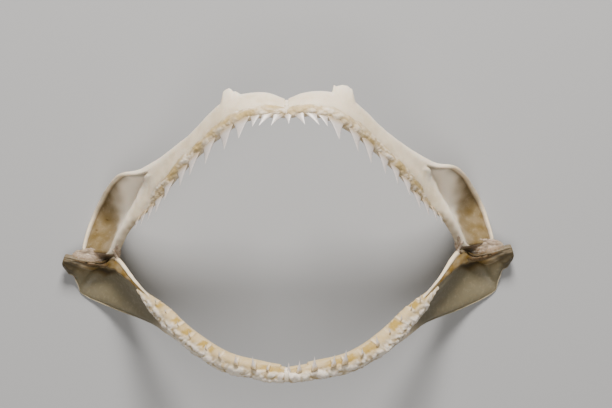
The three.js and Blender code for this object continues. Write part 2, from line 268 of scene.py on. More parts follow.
@dataclass(frozen=True)
class HalfJaw:
    """A half jaw as curves through its stations.

    outward is 1 where the outer face lies to the side of the tangent crossed with the section, and
    -1 in the other jaw.
    """

    name: str
    stations: tuple[Station, ...]
    outward: int
    inner_edge: float

    HALVINGS = 30

    @property
    def last(self) -> int:
        """The number of the last station."""
        return len(self.stations) - 1

    def section(self, station: float) -> Section:
        """Makes the section at a station.

        Args:
            station: The station's number, which may lie between two.

        Returns:
            The section.
        """
        share = station / self.last
        mouth = Curve.through([row.mouth for row in self.stations])
        back = Curve.through([row.back for row in self.stations])
        thick = Curve.through([row.thick for row in self.stations])
        form = Curve.through([(row.gum[0], *row.dish) for row in self.stations])
        cover = Curve.through([(row.gum[1], 0, 0) for row in self.stations])
        start = mouth.at(share)
        across = back.at(share) - start
        depth = across.length
        across.normalize()
        tangent = (mouth.tangent(share) + back.tangent(share)).normalized()
        outer = (tangent.cross(across) * self.outward).normalized()
        gum, hollow, flare = form.at(share)
        return Section(
            station, start, across, outer, tangent, depth, thick.at(share),
            gum, cover.at(share).x, hollow, flare, self.inner_edge,
        )

    def station_at(self, out: float) -> float:
        """Finds where along the jaw a place on its mouth edge is.

        Args:
            out: How far out from the midline the place is.

        Returns:
            The station there.
        """
        mouth = Curve.through([row.mouth for row in self.stations])
        near, far = 0.0, 1.0
        for _ in range(self.HALVINGS):
            middle = (near + far) / 2
            if mouth.at(middle).x < out:
                near = middle
            else:
                far = middle
        return near * self.last


UPPER = HalfJaw("upper", UPPER_STATIONS, 1, 1.4)
LOWER = HalfJaw("lower", LOWER_STATIONS, -1, 0.7)


def placed(point: Vector, side: Side) -> Vector:
    """Puts a point of a half jaw on its own side, skewed as the jaws dried.

    Args:
        point: The point on the plain half jaw, in millimetres.
        side: The side that it goes to.

    Returns:
        The point in the frame, in metres.
    """
    y, z = point.y - MIDDLE_Y, point.z - TABLE
    if side is Side.RIGHT:
        return Vector((-point.x, y, z)) * MM
    rise = SKEW_SLOPE * point.x * smoothstep(SKEW_FROM_Y, SKEW_TO_Y, point.y)
    wider = 1 + WIDER_SHARE * smoothstep(WIDER_FROM_Y, WIDER_TO_Y, -point.y)
    return Vector((point.x * wider, y + rise, z)) * MM


def grain(point: Vector, size: float, seed: int) -> float:
    """Gives smooth noise from about -1 to 1 with features of a size."""
    return noise.noise(point / size + Vector((seed * 17.3, seed * 5.1, seed * 9.7)))


def folds(point: Vector, size: float, seed: int) -> float:
    """Gives creased noise from 0 to about 1, with sharp ridges of a size."""
    shifted = point / size + Vector((seed * 11.9, seed * 3.7, seed * 7.1))
    return noise.turbulence(shifted, 3, True, noise_basis="PERLIN_ORIGINAL")


@dataclass(frozen=True)
class Grain:
    """Smooth noise up to an amount, with features of a size."""

    most: float
    size: float
    seed: int

    def at(self, point: Vector) -> float:
        """Gives the noise at a point."""
        return self.most * grain(point, self.size, self.seed)


# ---- meshes ----

# How strongly each mask shows at a point, from 0 to 1. Where the forms below set it, the factor
# before a name is that form's share of the mask.
Masks = dict[Mask, float]
Surface = Callable[[int, float], tuple[Vector, Masks]]


def wrapped(name: str, rows: int, around: int, surface: Surface) -> bpy.types.Object:
    """Wraps a flat grid round into a closed skin.

    Args:
        name: The piece's name.
        rows: How many steps the grid has along the skin.
        around: How many steps it has round it.
        surface: Gives the place and the masks of a point from its row and its share of the way
            round. The first and the last row each draw in to a point.

    Returns:
        The piece's object.
    """
    mesh = bmesh.new()
    mesh.loops.layers.uv.new("UVMap")
    layers = {mask: mesh.verts.layers.float.new(mask.value) for mask in Mask}
    bmesh.ops.create_grid(mesh, x_segments=rows, y_segments=around, size=1.0, calc_uvs=True)
    for vert in mesh.verts:
        row = round((vert.co.x + 1) / 2 * rows)
        point, masks = surface(row, ((vert.co.y + 1) / 2) % 1.0)
        vert.co = point
        for mask, value in masks.items():
            vert[layers[mask]] = min(max(value, 0.0), 1.0)
    bmesh.ops.remove_doubles(mesh, verts=mesh.verts[:], dist=1e-7)
    return finished(name, mesh)


def finished(name: str, mesh: bmesh.types.BMesh) -> bpy.types.Object:
    """Turns a bmesh into a smooth object with its faces outwards.

    Args:
        name: The object's name.
        mesh: The bmesh, which is freed.

    Returns:
        The object, linked to the scene.
    """
    bmesh.ops.dissolve_degenerate(mesh, edges=mesh.edges[:], dist=1e-8)
    bmesh.ops.recalc_face_normals(mesh, faces=mesh.faces[:])
    for face in mesh.faces:
        face.smooth = True
    data = bpy.data.meshes.new(name)
    mesh.to_mesh(data)
    mesh.free()
    made = bpy.data.objects.new(name, data)
    bpy.context.scene.collection.objects.link(made)
    return made


def dressed(
    made: bpy.types.Object, finish: bpy.types.Material, nodes: Sequence[str]
) -> None:
    """Gives a piece its material, puts it under the root body and hides the nodes that it replaces,
    and reports it.

    Args:
        made: The piece.
        finish: Its material.
        nodes: The nodes that it takes the place of.
    """
    made.data.materials.append(finish)
    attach(made, "root")
    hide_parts(*nodes)
    LOG.info("%s: %d faces", made.name, len(made.data.polygons))


def centre_of(points: Sequence[Vector]) -> Vector:
    """Gives the mean of some points."""
    return sum(points, Vector((0, 0, 0))) / len(points)


@dataclass(frozen=True)
class Rows:
    """The rows of a skin along a half jaw, with both its ends rounded in."""

    first: float
    last: float
    count: int
    rounding: tuple[tuple[float, float], ...] = (
        (0.0, 0.0), (0.0, 0.55), (0.04, 0.82), (0.2, 0.94), (0.55, 0.99),
    )
    start_round: float = 0.06
    end_round: float = 0.16

    def all(self) -> list[tuple[float, float]]:
        """Spreads the rows along the half jaw.

        Returns:
            Each row's station, and how full the section is there.
        """
        starts = [(self.first + self.start_round * at, full) for at, full in self.rounding]
        ends = [(self.last - self.end_round * at, full) for at, full in self.rounding]
        low, high = self.first + self.start_round, self.last - self.end_round
        middle = [
            (low + (high - low) * i / (self.count - 1), 1.0) for i in range(self.count)
        ]
        return starts + middle + ends[::-1]


# ---- cartilage ----


@dataclass(frozen=True)
class OrbitalProcess:
    """The knob on the far edge of an upper cartilage that slid along the skull.

    profile holds its height at places out from the midline, in millimetres. ragged is the share
    of that height by which its top is torn, in tears of the size of TEARS.
    """

    profile: tuple[tuple[float, float], ...]
    ragged: float

    UP = Vector((0, 0.93, -0.36))
    TEARS, TEARS_SEED = 1.1, 5
    RISES = (0.62, 0.97)

    def lift(self, out: float, depth: float, point: Vector) -> float:
        """Gives how far a point of the cartilage is lifted.

        Args:
            out: How far out from the midline the point is.
            depth: The share of the way from the mouth edge to the far edge.
            point: The point in space.

        Returns:
            The lift in millimetres.
        """
        if not self.profile[0][0] < out < self.profile[-1][0]:
            return 0.0
        height = between(self.profile, out)
        torn = 1 + self.ragged * grain(Vector((point.x, 0, 0)), self.TEARS, self.TEARS_SEED)
        return height * torn * smoothstep(*self.RISES, depth)


@dataclass
class Cartilage:
    """The calcified cartilage of a half jaw.

    A table gives, at stations along the jaw, the share of the depth at which a form lies. A pair
    whose name ends in BEGINS, ENDS or DEPTH is where a form fades in or out, and one that ends in
    SOFT is how far before and after its edge it does so. Heights and depths that end in PROUD or
    DEEP are in millimetres. SHOWS is how strong a stain, or the painted highlight, is.
    """

    jaw: HalfJaw
    side: Side
    finish: bpy.types.Material
    rows: Rows
    around: int = 128
    process: OrbitalProcess | None = None
    raised: float = 0.0
    sections: list[tuple[Section, float, Vector]] = field(default_factory=list)

    FOSSA_EDGE = (
        (3.94, 0.76), (4.05, 0.69), (4.74, 0.54), (5.03, 0.5), (5.34, 0.43), (5.58, 0.35),
        (5.79, 0.25), (6.07, 0.18), (6.4, 0.15), (7.0, 0.13),
    )
    FOSSA_RIM = (
        (3.94, 0.76), (4.25, 0.81), (4.65, 0.86), (4.86, 0.915), (5.3, 0.94), (5.72, 0.925),
        (6.03, 0.93), (6.8, 0.94),
    )
    TAN_EDGE = (
        (4.5, 1.1), (5.0, 0.97), (5.36, 0.89), (5.6, 0.8), (5.81, 0.69), (6.03, 0.56),
        (6.26, 0.42), (6.53, 0.26), (7.0, 0.2),
    )
    GROOVE = (
        (4.7, 0.02), (5.07, 0.05), (5.35, 0.11), (5.62, 0.18), (5.92, 0.26), (6.3, 0.34),
        (7.2, 0.42),
    )
    SHADE = ((5.6, 0.24), (5.94, 0.42), (6.5, 0.45), (7.2, 0.43))
    SPECKS = ((6.07, 0.727), (6.41, 0.804))
    FOSSA_DEPTH = 1.2
    RIM_PROUD = 0.5
    RIDGE_PROUD = 0.7
    RING_POINTS = 12
    RAISED_AT, RAISED_WIDTH = 5.1, 0.7
    OUTER_NEAR, OUTER_FAR = (-0.12, 0.12), (-0.45, -0.2)
    WAVES = ((0.25, 9.0), (0.08, 3.0))
    FOSSA_BEGINS, RIM_BEGINS = (3.9, 4.15), (3.7, 4.3)
    RIDGE_OFF, RIDGE_WIDTH = 0.06, 0.08
    CORNER_ENDS = (4.3, 5.2)
    OLIVE_DEPTH, OLIVE_BEGINS = (0.03, 0.13), (5.55, 5.75)
    PALE_DEPTH, PALE_ENDS = (0.6, 0.95), (4.2, 5.0)
    SPECK_SIZE = (0.014, 0.022)
    SEAM_WIDTH = 1.6
    PLATE_BEGINS, JOINT_STATIONS = (3.3, 4.0), (5.2, 6.2)
    LEFT_EDGE = 0.05
    LIP_DEPTH, LIP_BEGINS = (0.95, 1.0), (6.0, 6.8)
    LINE_WIDTH, LINE_ENDS = 0.035, (6.0, 6.6)
    SHADE_WIDTH, SHADE_BEGINS, SHADE_ENDS = 0.085, (5.4, 5.9), (6.4, 7.3)
    HOLLOW_AT, HOLLOW_SIZE = (0.42, 7.3), (0.2, 0.45)
    NOTCH_AT, NOTCH_WIDTH, NOTCH_DEPTH = 7.28, 0.16, (0.8, 1.0)
    KNOB_BEGINS = (7.2, 7.6)
    SOCKET_BEGINS, SOCKET_DEPTH = (6.15, 6.4), (0.25, 0.42)
    TROUGH_DEEP, PLATE_DEEP, SHADE_DEEP = 0.8, 0.3, 0.6
    HOLLOW_DEEP, NOTCH_DEEP, SOCKET_DEEP = 0.6, 1.1, 1.6
    LIP_PROUD, LINE_PROUD = 0.5, 0.5
    SEEDS = {Side.LEFT: 1, Side.RIGHT: 2}
    EDGE_GRAIN, RIM_GRAIN = Grain(0.012, 5.0, 3), Grain(0.006, 4.0, 4)
    TAN_GRAIN, TAN_MOTTLE = Grain(0.07, 6.0, 6), Grain(0.14, 5.0, 7)
    OLIVE_MOTTLE, KNOB_GRAIN = Grain(0.3, 3.0, 8), Grain(0.5, 2.6, 8)
    GROOVE_GRAIN, TROUGH_MOTTLE = Grain(0.01, 4.0, 3), Grain(0.2, 3.0, 9)
    FOSSA_SOFT, FOSSA_RIM_SOFT, RIM_SOFT = (0.02, 0.08), (0.02, 0.02), (0.01, 0.03)
    FADED_SOFT, TAN_SOFT, PLATE_SOFT = (0.04, 0.24), (0.24, 0.08), (0.0, 0.06)
    WALL_OFF, WALL_WIDTH = 0.012, 0.022
    CORNER_OFF, CORNER_WIDTH = 0.05, 0.05
    TAN_SHOWS, OLIVE_SHOWS, SEAM_SHOWS, PALE_SHOWS = 0.9, 0.45, 0.12, 0.7
    TROUGH_FROM, TROUGH_NEARER, TROUGH_SOFT = 0.16, 0.12, 0.2
    KNOB_PLATE, KNOB_IN_SOCKET = 0.9, 0.6
    KNOB_FADES = (0.3, 0.1)

    def build(self) -> bpy.types.Object:
        """Makes the cartilage and dresses it.

        Returns:
            The piece.
        """
        for station, full in self.rows.all():
            section = self.jaw.section(station)
            angles = [math.tau * i / self.RING_POINTS for i in range(self.RING_POINTS)]
            centre = centre_of([section.at(section.outline(angle)) for angle in angles])
            self.sections.append((section, full, centre))
        name = f"{self.jaw.name}_cartilage_{self.side.word}"
        made = wrapped(f"{name}_bone", len(self.sections) - 1, self.around, self.surface)
        dressed(made, self.finish, [name])
        return made

    def surface(self, row: int, share: float) -> tuple[Vector, Masks]:
        """Gives a point of the cartilage and what shows there.

        Args:
            row: The number of the row along the cartilage.
            share: The share of the way round it.

        Returns:
            The point in metres, and its masks.
        """
        section, full, centre = self.sections[row]
        angle = math.tau * share
        raised = self.raised * bell(section.station - self.RAISED_AT, self.RAISED_WIDTH)
        point = section.at(section.outline(angle, gum=section.gum - raised))
        normal = section.turned(section.normal(angle))
        depth = (1 - math.cos(angle)) / 2
        sine = math.sin(angle)
        outer = smoothstep(*(self.OUTER_NEAR if depth < 0.5 else self.OUTER_FAR), sine)
        form = self.upper_form if self.jaw is UPPER else self.lower_form
        lift, masks = form(section, depth, outer, point)
        seed = self.SEEDS[self.side]
        lift += sum(height * grain(point, size, seed) for height, size in self.WAVES)
        point = point + normal * lift
        if self.process:
            lifted = self.process.lift(point.x, depth, point)
            point = point + self.process.UP * lifted
        point = centre + (point - centre) * full
        point.x = max(point.x, GAP)
        point.z = max(point.z, TABLE)
        return placed(point, self.side), masks

    def upper_form(
        self, section: Section, depth: float, outer: float, point: Vector
    ) -> tuple[float, Masks]:
        """Hollows the muscle's fossa in the plate, marks its stains and paints light and shade:
        highlights on the ridge and along the far edge, a lighter fossa floor, and shade on the
        rim's inner wall.

        Args:
            section: The section that the point is in.
            depth: The share of the way from the mouth edge to the far edge.
            outer: 1 on the outer face and 0 on the inner one.
            point: The point in space.

        Returns:
            How far the surface is lifted, and its masks.
        """
        station = section.station
        begins = smoothstep(*self.FOSSA_BEGINS, station)
        edge = between(self.FOSSA_EDGE, station) + self.EDGE_GRAIN.at(point)
        rim = between(self.FOSSA_RIM, station) + self.RIM_GRAIN.at(point)
        inside = past(edge, self.FOSSA_SOFT, depth) * begins * outer
        inside *= 1 - past(rim, self.FOSSA_RIM_SOFT, depth)
        # The fossa floor is painted lighter, as light that lifts its shade.
        faded = past(edge, self.FADED_SOFT, depth) * inside
        proud = past(rim, self.RIM_SOFT, depth) * smoothstep(*self.RIM_BEGINS, station)
        ridge = bell(depth - edge + self.RIDGE_OFF, self.RIDGE_WIDTH) * begins * outer
        lift = self.RIM_PROUD * proud + self.RIDGE_PROUD * ridge - self.FOSSA_DEPTH * inside
        tan_edge = between(self.TAN_EDGE, station) + self.TAN_GRAIN.at(point)
        tan = past(tan_edge, self.TAN_SOFT, depth) * (self.TAN_SHOWS + self.TAN_MOTTLE.at(point))
        # wall and corner paint shade on the rim's inner wall and just inside it.
        wall = bell(depth - rim + self.WALL_OFF, self.WALL_WIDTH) * inside
        corner = bell(depth - rim + self.CORNER_OFF, self.CORNER_WIDTH) * inside
        corner *= 1 - smoothstep(*self.CORNER_ENDS, station)
        olive = 1 - smoothstep(*self.OLIVE_DEPTH, depth)
        olive *= smoothstep(*self.OLIVE_BEGINS, station)
        olive *= self.OLIVE_SHOWS + self.OLIVE_MOTTLE.at(point)
        seam = self.SEAM_SHOWS * bell(section.start.x, self.SEAM_WIDTH)
        long, wide = self.SPECK_SIZE
        speck = max(bell(station - at, long) * bell(depth - far, wide) for at, far in self.SPECKS)
        speck *= inside if self.side is Side.RIGHT else 0.0
        # A painted highlight along the far edge of the front arm.
        pale = self.PALE_SHOWS * smoothstep(*self.PALE_DEPTH, depth)
        pale *= 1 - smoothstep(*self.PALE_ENDS, station)
        # The lighter paint on the ridge is a painted highlight.
        return lift, {
            Mask.STAIN: max(tan * inside, 0.5 * corner, olive, seam),
            Mask.RECESS: max(1.6 * speck, 0.5 * wall, 0.12 * olive),
            Mask.BLEACH: max(faded * (1 - tan), pale, 0.8 * ridge),
        }

    def lower_form(
        self, section: Section, depth: float, outer: float, point: Vector
    ) -> tuple[float, Masks]:
        """Hollows the plate below the jaw joint, marks its stains and paints shade: the plate and
        the knob greyer and darker, darker bands under the ligament's ledge, in the hollow, the
        notch and the socket, and a darker line at the plate's edge.

        Args:
            section: The section that the point is in.
            depth: The share of the way from the mouth edge to the far edge.
            outer: 1 on the outer face and 0 on the inner one.
            point: The point in space.

        Returns:
            How far the surface is lifted, and its masks.
        """
        station = section.station
        edge = between(self.GROOVE, station) + self.GROOVE_GRAIN.at(point)
        near_joint = smoothstep(*self.JOINT_STATIONS, station)
        if self.side is Side.LEFT:
            edge += self.LEFT_EDGE * near_joint
        begins = smoothstep(*self.PLATE_BEGINS, station) * outer
        ridge = (self.TROUGH_FROM - self.TROUGH_NEARER * near_joint) * edge
        trough = past(ridge, (0.0, self.TROUGH_SOFT * edge), depth) * begins
        # plate paints the plate greyer and darker as shade, less at its far lip.
        plate = past(edge, self.PLATE_SOFT, depth) * begins
        lip = smoothstep(*self.LIP_DEPTH, depth) * smoothstep(*self.LIP_BEGINS, station)
        line = bell(depth - edge, self.LINE_WIDTH) * begins
        line *= 1 - smoothstep(*self.LINE_ENDS, station)
        dark = between(self.SHADE, station)
        shade = bell(depth - dark, self.SHADE_WIDTH) * smoothstep(*self.SHADE_BEGINS, station)
        shade *= outer
        shade *= 1 - smoothstep(*self.SHADE_ENDS, station)
        # The hollow, the notch, the socket under the ligament and the knob are darkened as painted
        # shade.
        (far, out), (deep, long) = self.HOLLOW_AT, self.HOLLOW_SIZE
        hollow = bell(depth - far, deep) * bell(station - out, long) * outer
        notch = bell(station - self.NOTCH_AT, self.NOTCH_WIDTH)
        notch *= smoothstep(*self.NOTCH_DEPTH, depth)
        knob = smoothstep(*self.KNOB_BEGINS, station)
        plate = max(plate, self.KNOB_PLATE * knob)
        socket = smoothstep(*self.SOCKET_BEGINS, station)
        socket *= 1 - smoothstep(*self.SOCKET_DEPTH, depth)
        socket *= 1 - self.KNOB_IN_SOCKET * knob
        lift = -self.TROUGH_DEEP * trough - self.PLATE_DEEP * plate - self.SHADE_DEEP * shade
        lift = lift - self.HOLLOW_DEEP * hollow - self.NOTCH_DEEP * notch
        lift -= self.SOCKET_DEEP * socket
        lift += self.LIP_PROUD * lip + self.LINE_PROUD * line + knob * self.KNOB_GRAIN.at(point)
        tan = trough * (1 - plate) * (self.TAN_SHOWS + self.TROUGH_MOTTLE.at(point))
        # The knob's top keeps only part of the plate's painted shade.
        bare = 1 - 0.5 * knob * smoothstep(*self.KNOB_FADES, depth)
        return lift, {
            Mask.STAIN: max(tan, shade, 0.6 * hollow, 0.2 * knob, socket),
            Mask.RECESS: max(
                shade, 0.3 * hollow, 0.45 * line, 0.3 * notch, 0.85 * socket, 0.65 * knob
            ),
            Mask.BLEACH: plate * (1 - lip) * bare,
        }


# ---- gums ----


@dataclass(frozen=True)
class Tooth:
    """A tooth of a row, seen square to its face.

    out is how far out from the midline it stands, lean how far its tip leans out for each step
    that it rises, and size its share of the row's largest.
    """

    out: float
    lean: float
    size: float


def teeth(*rows: tuple[float, float, float]) -> tuple[Tooth, ...]:
    """Makes a row of teeth from each one's out, lean and size."""
    return tuple(Tooth(*row) for row in rows)


UPPER_LEFT_ROW = teeth(
    (6.3, 0.54, 0.6), (11.8, 0.69, 0.64), (17.4, 0.44, 0.6), (23.4, 0.17, 1.03),
    (32.4, 0.17, 1.02), (39.2, 0.14, 1.1), (47.2, 0.09, 0.94), (53.2, 0.15, 0.9),
    (59.2, 0.2, 0.88), (65.0, 0.2, 0.8), (70.0, 0.2, 0.7), (74.6, 0.2, 0.58), (78.0, 0.2, 0.44),
)
UPPER_RIGHT_ROW = teeth(
    (4.1, 0.65, 0.6), (9.2, 0.76, 0.62), (15.0, 0.26, 0.58), (21.5, 0.13, 0.96),
    (28.7, 0.07, 1.08), (37.2, 0.17, 1.12), (45.3, 0.2, 1.0), (51.3, 0.12, 0.94),
    (58.6, 0.25, 0.88), (64.2, 0.2, 0.8), (68.8, 0.2, 0.7), (73.0, 0.2, 0.6), (76.4, 0.2, 0.44),
)
LOWER_LEFT_ROW = teeth(
    (0.6, 0.0, 0.9), (5.5, 0.05, 0.95), (12.7, 0.0, 1.05), (21.8, 0.1, 0.9), (27.0, 0.1, 1.1),
    (35.0, 0.0, 0.6), (42.9, 0.0, 0.8), (50.2, 0.0, 0.5), (57.0, 0.0, 0.5), (62.4, 0.0, 0.4),
    (67.4, 0.0, 0.4),
)
LOWER_RIGHT_ROW = teeth(
    (9.0, 0.1, 0.45), (15.9, 0.1, 0.95), (24.6, 0.05, 0.8), (32.5, 0.1, 0.6), (39.4, 0.15, 0.45),
    (48.0, 0.15, 0.5), (54.2, 0.2, 0.4), (61.0, 0.2, 0.4), (66.6, 0.2, 0.35),
)
MEDIAN_TOOTH = teeth((1.1, 0.05, 0.5))


@dataclass(frozen=True)
class GumForm:
    """The sizes of a gum, in millimetres and in angles of the section's outline.

    gap_to is the station up to which its inner edge has worn away.
    """

    last_station: float
    outer: float
    inner: float
    inner_reach: float
    crest_inward: float
    swell: float
    edge_fade: float
    torn: float
    shadow: float
    gap_to: float = -1.0

    UNDER = 0.35
    CLEAR = 0.5
    LEAST = 0.5
    EDGE_THINNING = 0.6
    LEAST_REACH = 2.2 * math.tau / 14
    MOST_INNER = 0.6
    NARROWING = 0.55
    OUTER_CREST = 0.5
    THINNING, THIN_FROM = 0.9, 1.2
    WORN_FACE, WORN_CREST = 0.9, 0.6

    def reach(self, section: Section, outer: bool) -> float:
        """Finds where the gum ends.

        Args:
            section: The section.
            outer: Whether on the outer face or on the inner one.

        Returns:
            The angle of the section's outline there.
        """
        share = section.cover if outer else min(self.MOST_INNER, self.inner_reach / section.depth)
        narrow = smoothstep(self.last_station - 1.0, self.last_station, section.station)
        return max(self.LEAST_REACH, math.acos(1 - 2 * share)) * (1 - self.NARROWING * narrow)

    def thickness(self, section: Section, angle: float) -> float:
        """Gives the gum's thickness over the cartilage.

        Args:
            section: The section.
            angle: The angle of its outline, below 0 on the inner face.

        Returns:
            The thickness in millimetres.
        """
        outer = angle > 0
        reach = self.reach(section, outer)
        width = self.OUTER_CREST if outer else self.crest_inward
        thin_from = self.last_station - self.THIN_FROM
        at_end = 1 - self.THINNING * smoothstep(thin_from, self.last_station, section.station)
        crest = (section.gum - self.CLEAR) * bell(angle, width) * at_end
        swell = 1.0 if outer else smoothstep(0, self.swell, -angle)
        to_edge = 1 - self.EDGE_THINNING * min(abs(angle) / reach, 1.0) ** 2
        face = (self.outer if outer else self.inner) * at_end * swell * to_edge
        if not outer:
            worn = 1 - smoothstep(self.gap_to - 0.1, self.gap_to + 0.02, section.station)
            face *= 1 - self.WORN_FACE * worn
            crest *= 1 - self.WORN_CREST * worn * smoothstep(0.1, 0.3, -angle)
        return self.CLEAR * at_end + max(self.LEAST * at_end, crest, face)


@dataclass
class Gum:
    """The dried gum over the mouth edge of a half jaw.

    OUTSIDE is the share of the way round that shows. NEAR and FAR are where the creases fade in and
    out, in millimetres from the crest. Sizes, heights and depths are in millimetres too. INNER,
    FRONT, PIT_EDGE and GOLD_ENDS are angles of the outline, and EDGE_BETWEEN and PIT_CLEAR are
    distances from a tooth. The other pairs are values of a noise. Each pair is where a form, a
    stain, a painted highlight or painted shade fades in or out.
    """

    jaw: HalfJaw
    side: Side
    form: GumForm
    row: tuple[Tooth, ...]
    finish: bpy.types.Material
    count: int = 360
    around: int = 80
    sections: list[tuple[Section, float, Vector, float]] = field(default_factory=list)
    tooth_stations: list[float] = field(default_factory=list)

    SEEDS = {Side.LEFT: 3, Side.RIGHT: 4}
    UPPER_SEEDS, LOWER_SEEDS = {Side.LEFT: 31, Side.RIGHT: 47}, {Side.LEFT: 13, Side.RIGHT: 29}
    OUTSIDE = 0.68
    START_ROUND, END_ROUND = 0.05, 0.1
    OFF_MIDLINE = 0.4
    TORN_SIZES, FINE_TORN = (3.4, 1.5), 0.8
    SHADOW_FROM, SHADOW_DARK = 0.7, 0.4
    UPPER_CREASE, LOWER_CREASE = 2.2, 4.4
    UPPER_STRETCH, LOWER_STRETCH = 0.4, 0.6
    FOLD_HIGH, FINE_HIGH, FINE_SIZE = 0.8, 0.15, 1.2
    WAVE_HIGH, WAVE_SIZE = 0.3, 4.0
    ROOT_HIGH, EDGE_HIGH, EDGE_ANGLE, EDGE_BETWEEN = 0.3, 0.4, 0.3, (0.2, 0.5)
    PATCHES, PATCH_SIZE = (-0.25, 0.35), 3.4
    INNER, VALLEY, CREST = (0.05, -0.4), (0.45, 0.2), (0.6, 0.9)
    FRONT, FRONT_WAVE, FRONT_SIZE = (0.08, 0.5), 0.25, 3.0
    UNEVEN_SIZE, RIB_SIZE = 7.0, 9.0
    RIB_WIDTH, RIB_WIDER, RIB_OFF, RIB_LEAST, RIB_FADE = 0.1, 0.06, 0.05, 0.35, (-0.3, 0.3)
    WOBBLE, WOBBLE_SIZE = 0.1, 2.2
    PIT_OFF, PIT_WAVE = 0.02, 0.14
    PIT_CLEAR, PIT_EDGE, PIT_LEAST, PIT_FADE = (0.06, 0.16), (0.14, 0.34), 0.3, (-0.3, 0.2)
    LUMP_HIGH, LUMP_MIDDLE, GRIT_HIGH, GRIT_SIZE, LUMP_LEAST = 1.2, 0.45, 0.3, 1.5, 0.1
    RIB_HIGH = 0.3
    BLUSH, BLUSH_SIZE = (0.3, 0.6), 3.6
    GOLD_SHOWS, GOLD_ENDS = 0.58, (-1.6, -0.9)
    DARK, WHITE = (0.35, 0.1), (0.15, 0.45)
    UPPER_NEAR, UPPER_FAR = (-0.5, 1.0), (3.5, 8.0)
    ROOT_AT, ROOT_WIDTH = 1.6, (0.2, 1.3)
    OCHRE_AT, OCHRE_WIDTH = 3.0, 2.8
    RIB_ANGLE = 0.45
    PIT_DEEP = 1.0

    def build(self) -> bpy.types.Object:
        """Makes the gum and dresses it.

        Returns:
            The piece.
        """
        rows = Rows(
            0.0, self.form.last_station, self.count,
            start_round=self.START_ROUND, end_round=self.END_ROUND,
        )
        along = 0.0
        for station, full in rows.all():
            section = self.jaw.section(station)
            if self.sections:
                along += (section.start - self.sections[-1][0].start).length
            crest = section.at(section.outline(0.0))
            self.sections.append((section, full, crest, along))
        self.tooth_stations = [self.jaw.station_at(tooth.out) for tooth in self.row]
        name = f"{self.jaw.name}_gum_{self.side.word}"
        made = wrapped(f"{name}_skin", len(self.sections) - 1, self.around, self.surface)
        dressed(made, self.finish, [name])
        return made

    def off_tooth(self, station: float) -> float:
        """Tells how far a station is from a tooth.

        Args:
            station: The station.

        Returns:
            0 at a tooth and 0.5 midway between two.
        """
        stations = self.tooth_stations
        off = [abs(station - at) for at in stations]
        index = off.index(min(off))
        low, high = max(index - 1, 0), min(index + 1, len(stations) - 1)
        spacing = (stations[high] - stations[low]) / (high - low)
        return min(off[index] / spacing, 0.5)

    def surface(self, row: int, share: float) -> tuple[Vector, Masks]:
        """Gives a point of the gum and what shows there.

        Args:
            row: The number of the row along the gum.
            share: The share of the way round it.

        Returns:
            The point in metres, and its masks.
        """
        section, full, crest, along = self.sections[row]
        form = self.form
        seed = self.SEEDS[self.side]
        coarse, fine = self.TORN_SIZES
        ragged = grain(section.start, coarse, seed)
        ragged += self.FINE_TORN * grain(section.start, fine, seed + 2)
        outer_reach = form.reach(section, True) * (1 + form.torn * ragged)
        inner_reach = form.reach(section, False)
        outside = share <= self.OUTSIDE
        if outside:
            angle = outer_reach - (outer_reach + inner_reach) * share / self.OUTSIDE
        else:
            back = (share - self.OUTSIDE) / (1 - self.OUTSIDE)
            angle = -inner_reach + (outer_reach + inner_reach) * back
        base = section.at(section.outline(angle))
        normal = section.turned(section.normal(angle))
        if not outside:
            point = crest + (base - normal * form.UNDER - crest) * full
            return self.closed(point), {Mask.STAIN: 0.5}
        to_edge = min(abs(angle) / (outer_reach if angle > 0 else inner_reach), 1.0)
        thick = form.thickness(section, max(min(angle, outer_reach), -inner_reach))
        fade = 1 - smoothstep(1 - form.edge_fade, 1.0, to_edge)
        across = math.copysign((base - crest).length, angle)
        relief = self.upper_relief if self.jaw is UPPER else self.lower_relief
        lumps, masks = relief(Vector((along, across, 0)), angle, self.off_tooth(section.station))
        if angle > 0:
            below = form.shadow * smoothstep(self.SHADOW_FROM, 1.0, to_edge)
            masks[Mask.STAIN] = max(masks[Mask.STAIN], below)
            masks[Mask.RECESS] = max(masks[Mask.RECESS], self.SHADOW_DARK * below)
        lift = (thick + lumps * min(thick, 1.0)) * fade - form.UNDER * (1 - fade)
        point = crest + (base + normal * lift - crest) * full
        return self.closed(point), masks

    def upper_relief(
        self, spot: Vector, angle: float, off: float
    ) -> tuple[float, Masks]:
        """Shapes the creases over the teeth of the upper jaw and marks their colours: ochre
        patches, crease valleys painted darker as shade and crease tops painted whiter as highlight.

        Args:
            spot: How far along the jaw and across the gum a point is, in millimetres.
            angle: Its angle in the outline.
            off: How far it is from a tooth, up to 0.5.

        Returns:
            How much is added to the gum's thickness, and the masks.
        """
        seed = self.UPPER_SEEDS[self.side]
        stretched = Vector((spot.x * self.UPPER_STRETCH, spot.y, 0))
        crease = folds(stretched, self.UPPER_CREASE, seed)
        near = smoothstep(*self.UPPER_NEAR, spot.y) * (1 - smoothstep(*self.UPPER_FAR, spot.y))
        wide, high = self.ROOT_WIDTH
        root = bell(off, wide) * bell(spot.y - self.ROOT_AT, high)
        edge = bell(angle, self.EDGE_ANGLE) * smoothstep(*self.EDGE_BETWEEN, off)
        fine = self.FINE_HIGH * grain(spot, self.FINE_SIZE, seed)
        lift = near * (self.FOLD_HIGH * (crease - 0.5) + fine)
        wave = self.WAVE_HIGH * grain(stretched, self.WAVE_SIZE, seed)
        lift += wave + self.ROOT_HIGH * root + self.EDGE_HIGH * edge
        patches = smoothstep(*self.PATCHES, grain(stretched, self.PATCH_SIZE, seed + 5))
        ochre = patches * bell(spot.y - self.OCHRE_AT, self.OCHRE_WIDTH)
        inner = smoothstep(*self.INNER, angle)
        # Crease valleys are painted darker as shade, and crease tops whiter as highlight.
        line = near * smoothstep(*self.VALLEY, crease)
        stain = max(0.75 * ochre * (1 - inner), 0.5 * line)
        bleach = max(near * smoothstep(*self.CREST, crease) * (1 - patches), 0.6 * inner)
        return lift, {Mask.STAIN: stain, Mask.RECESS: 0.2 * line, Mask.BLEACH: bleach}

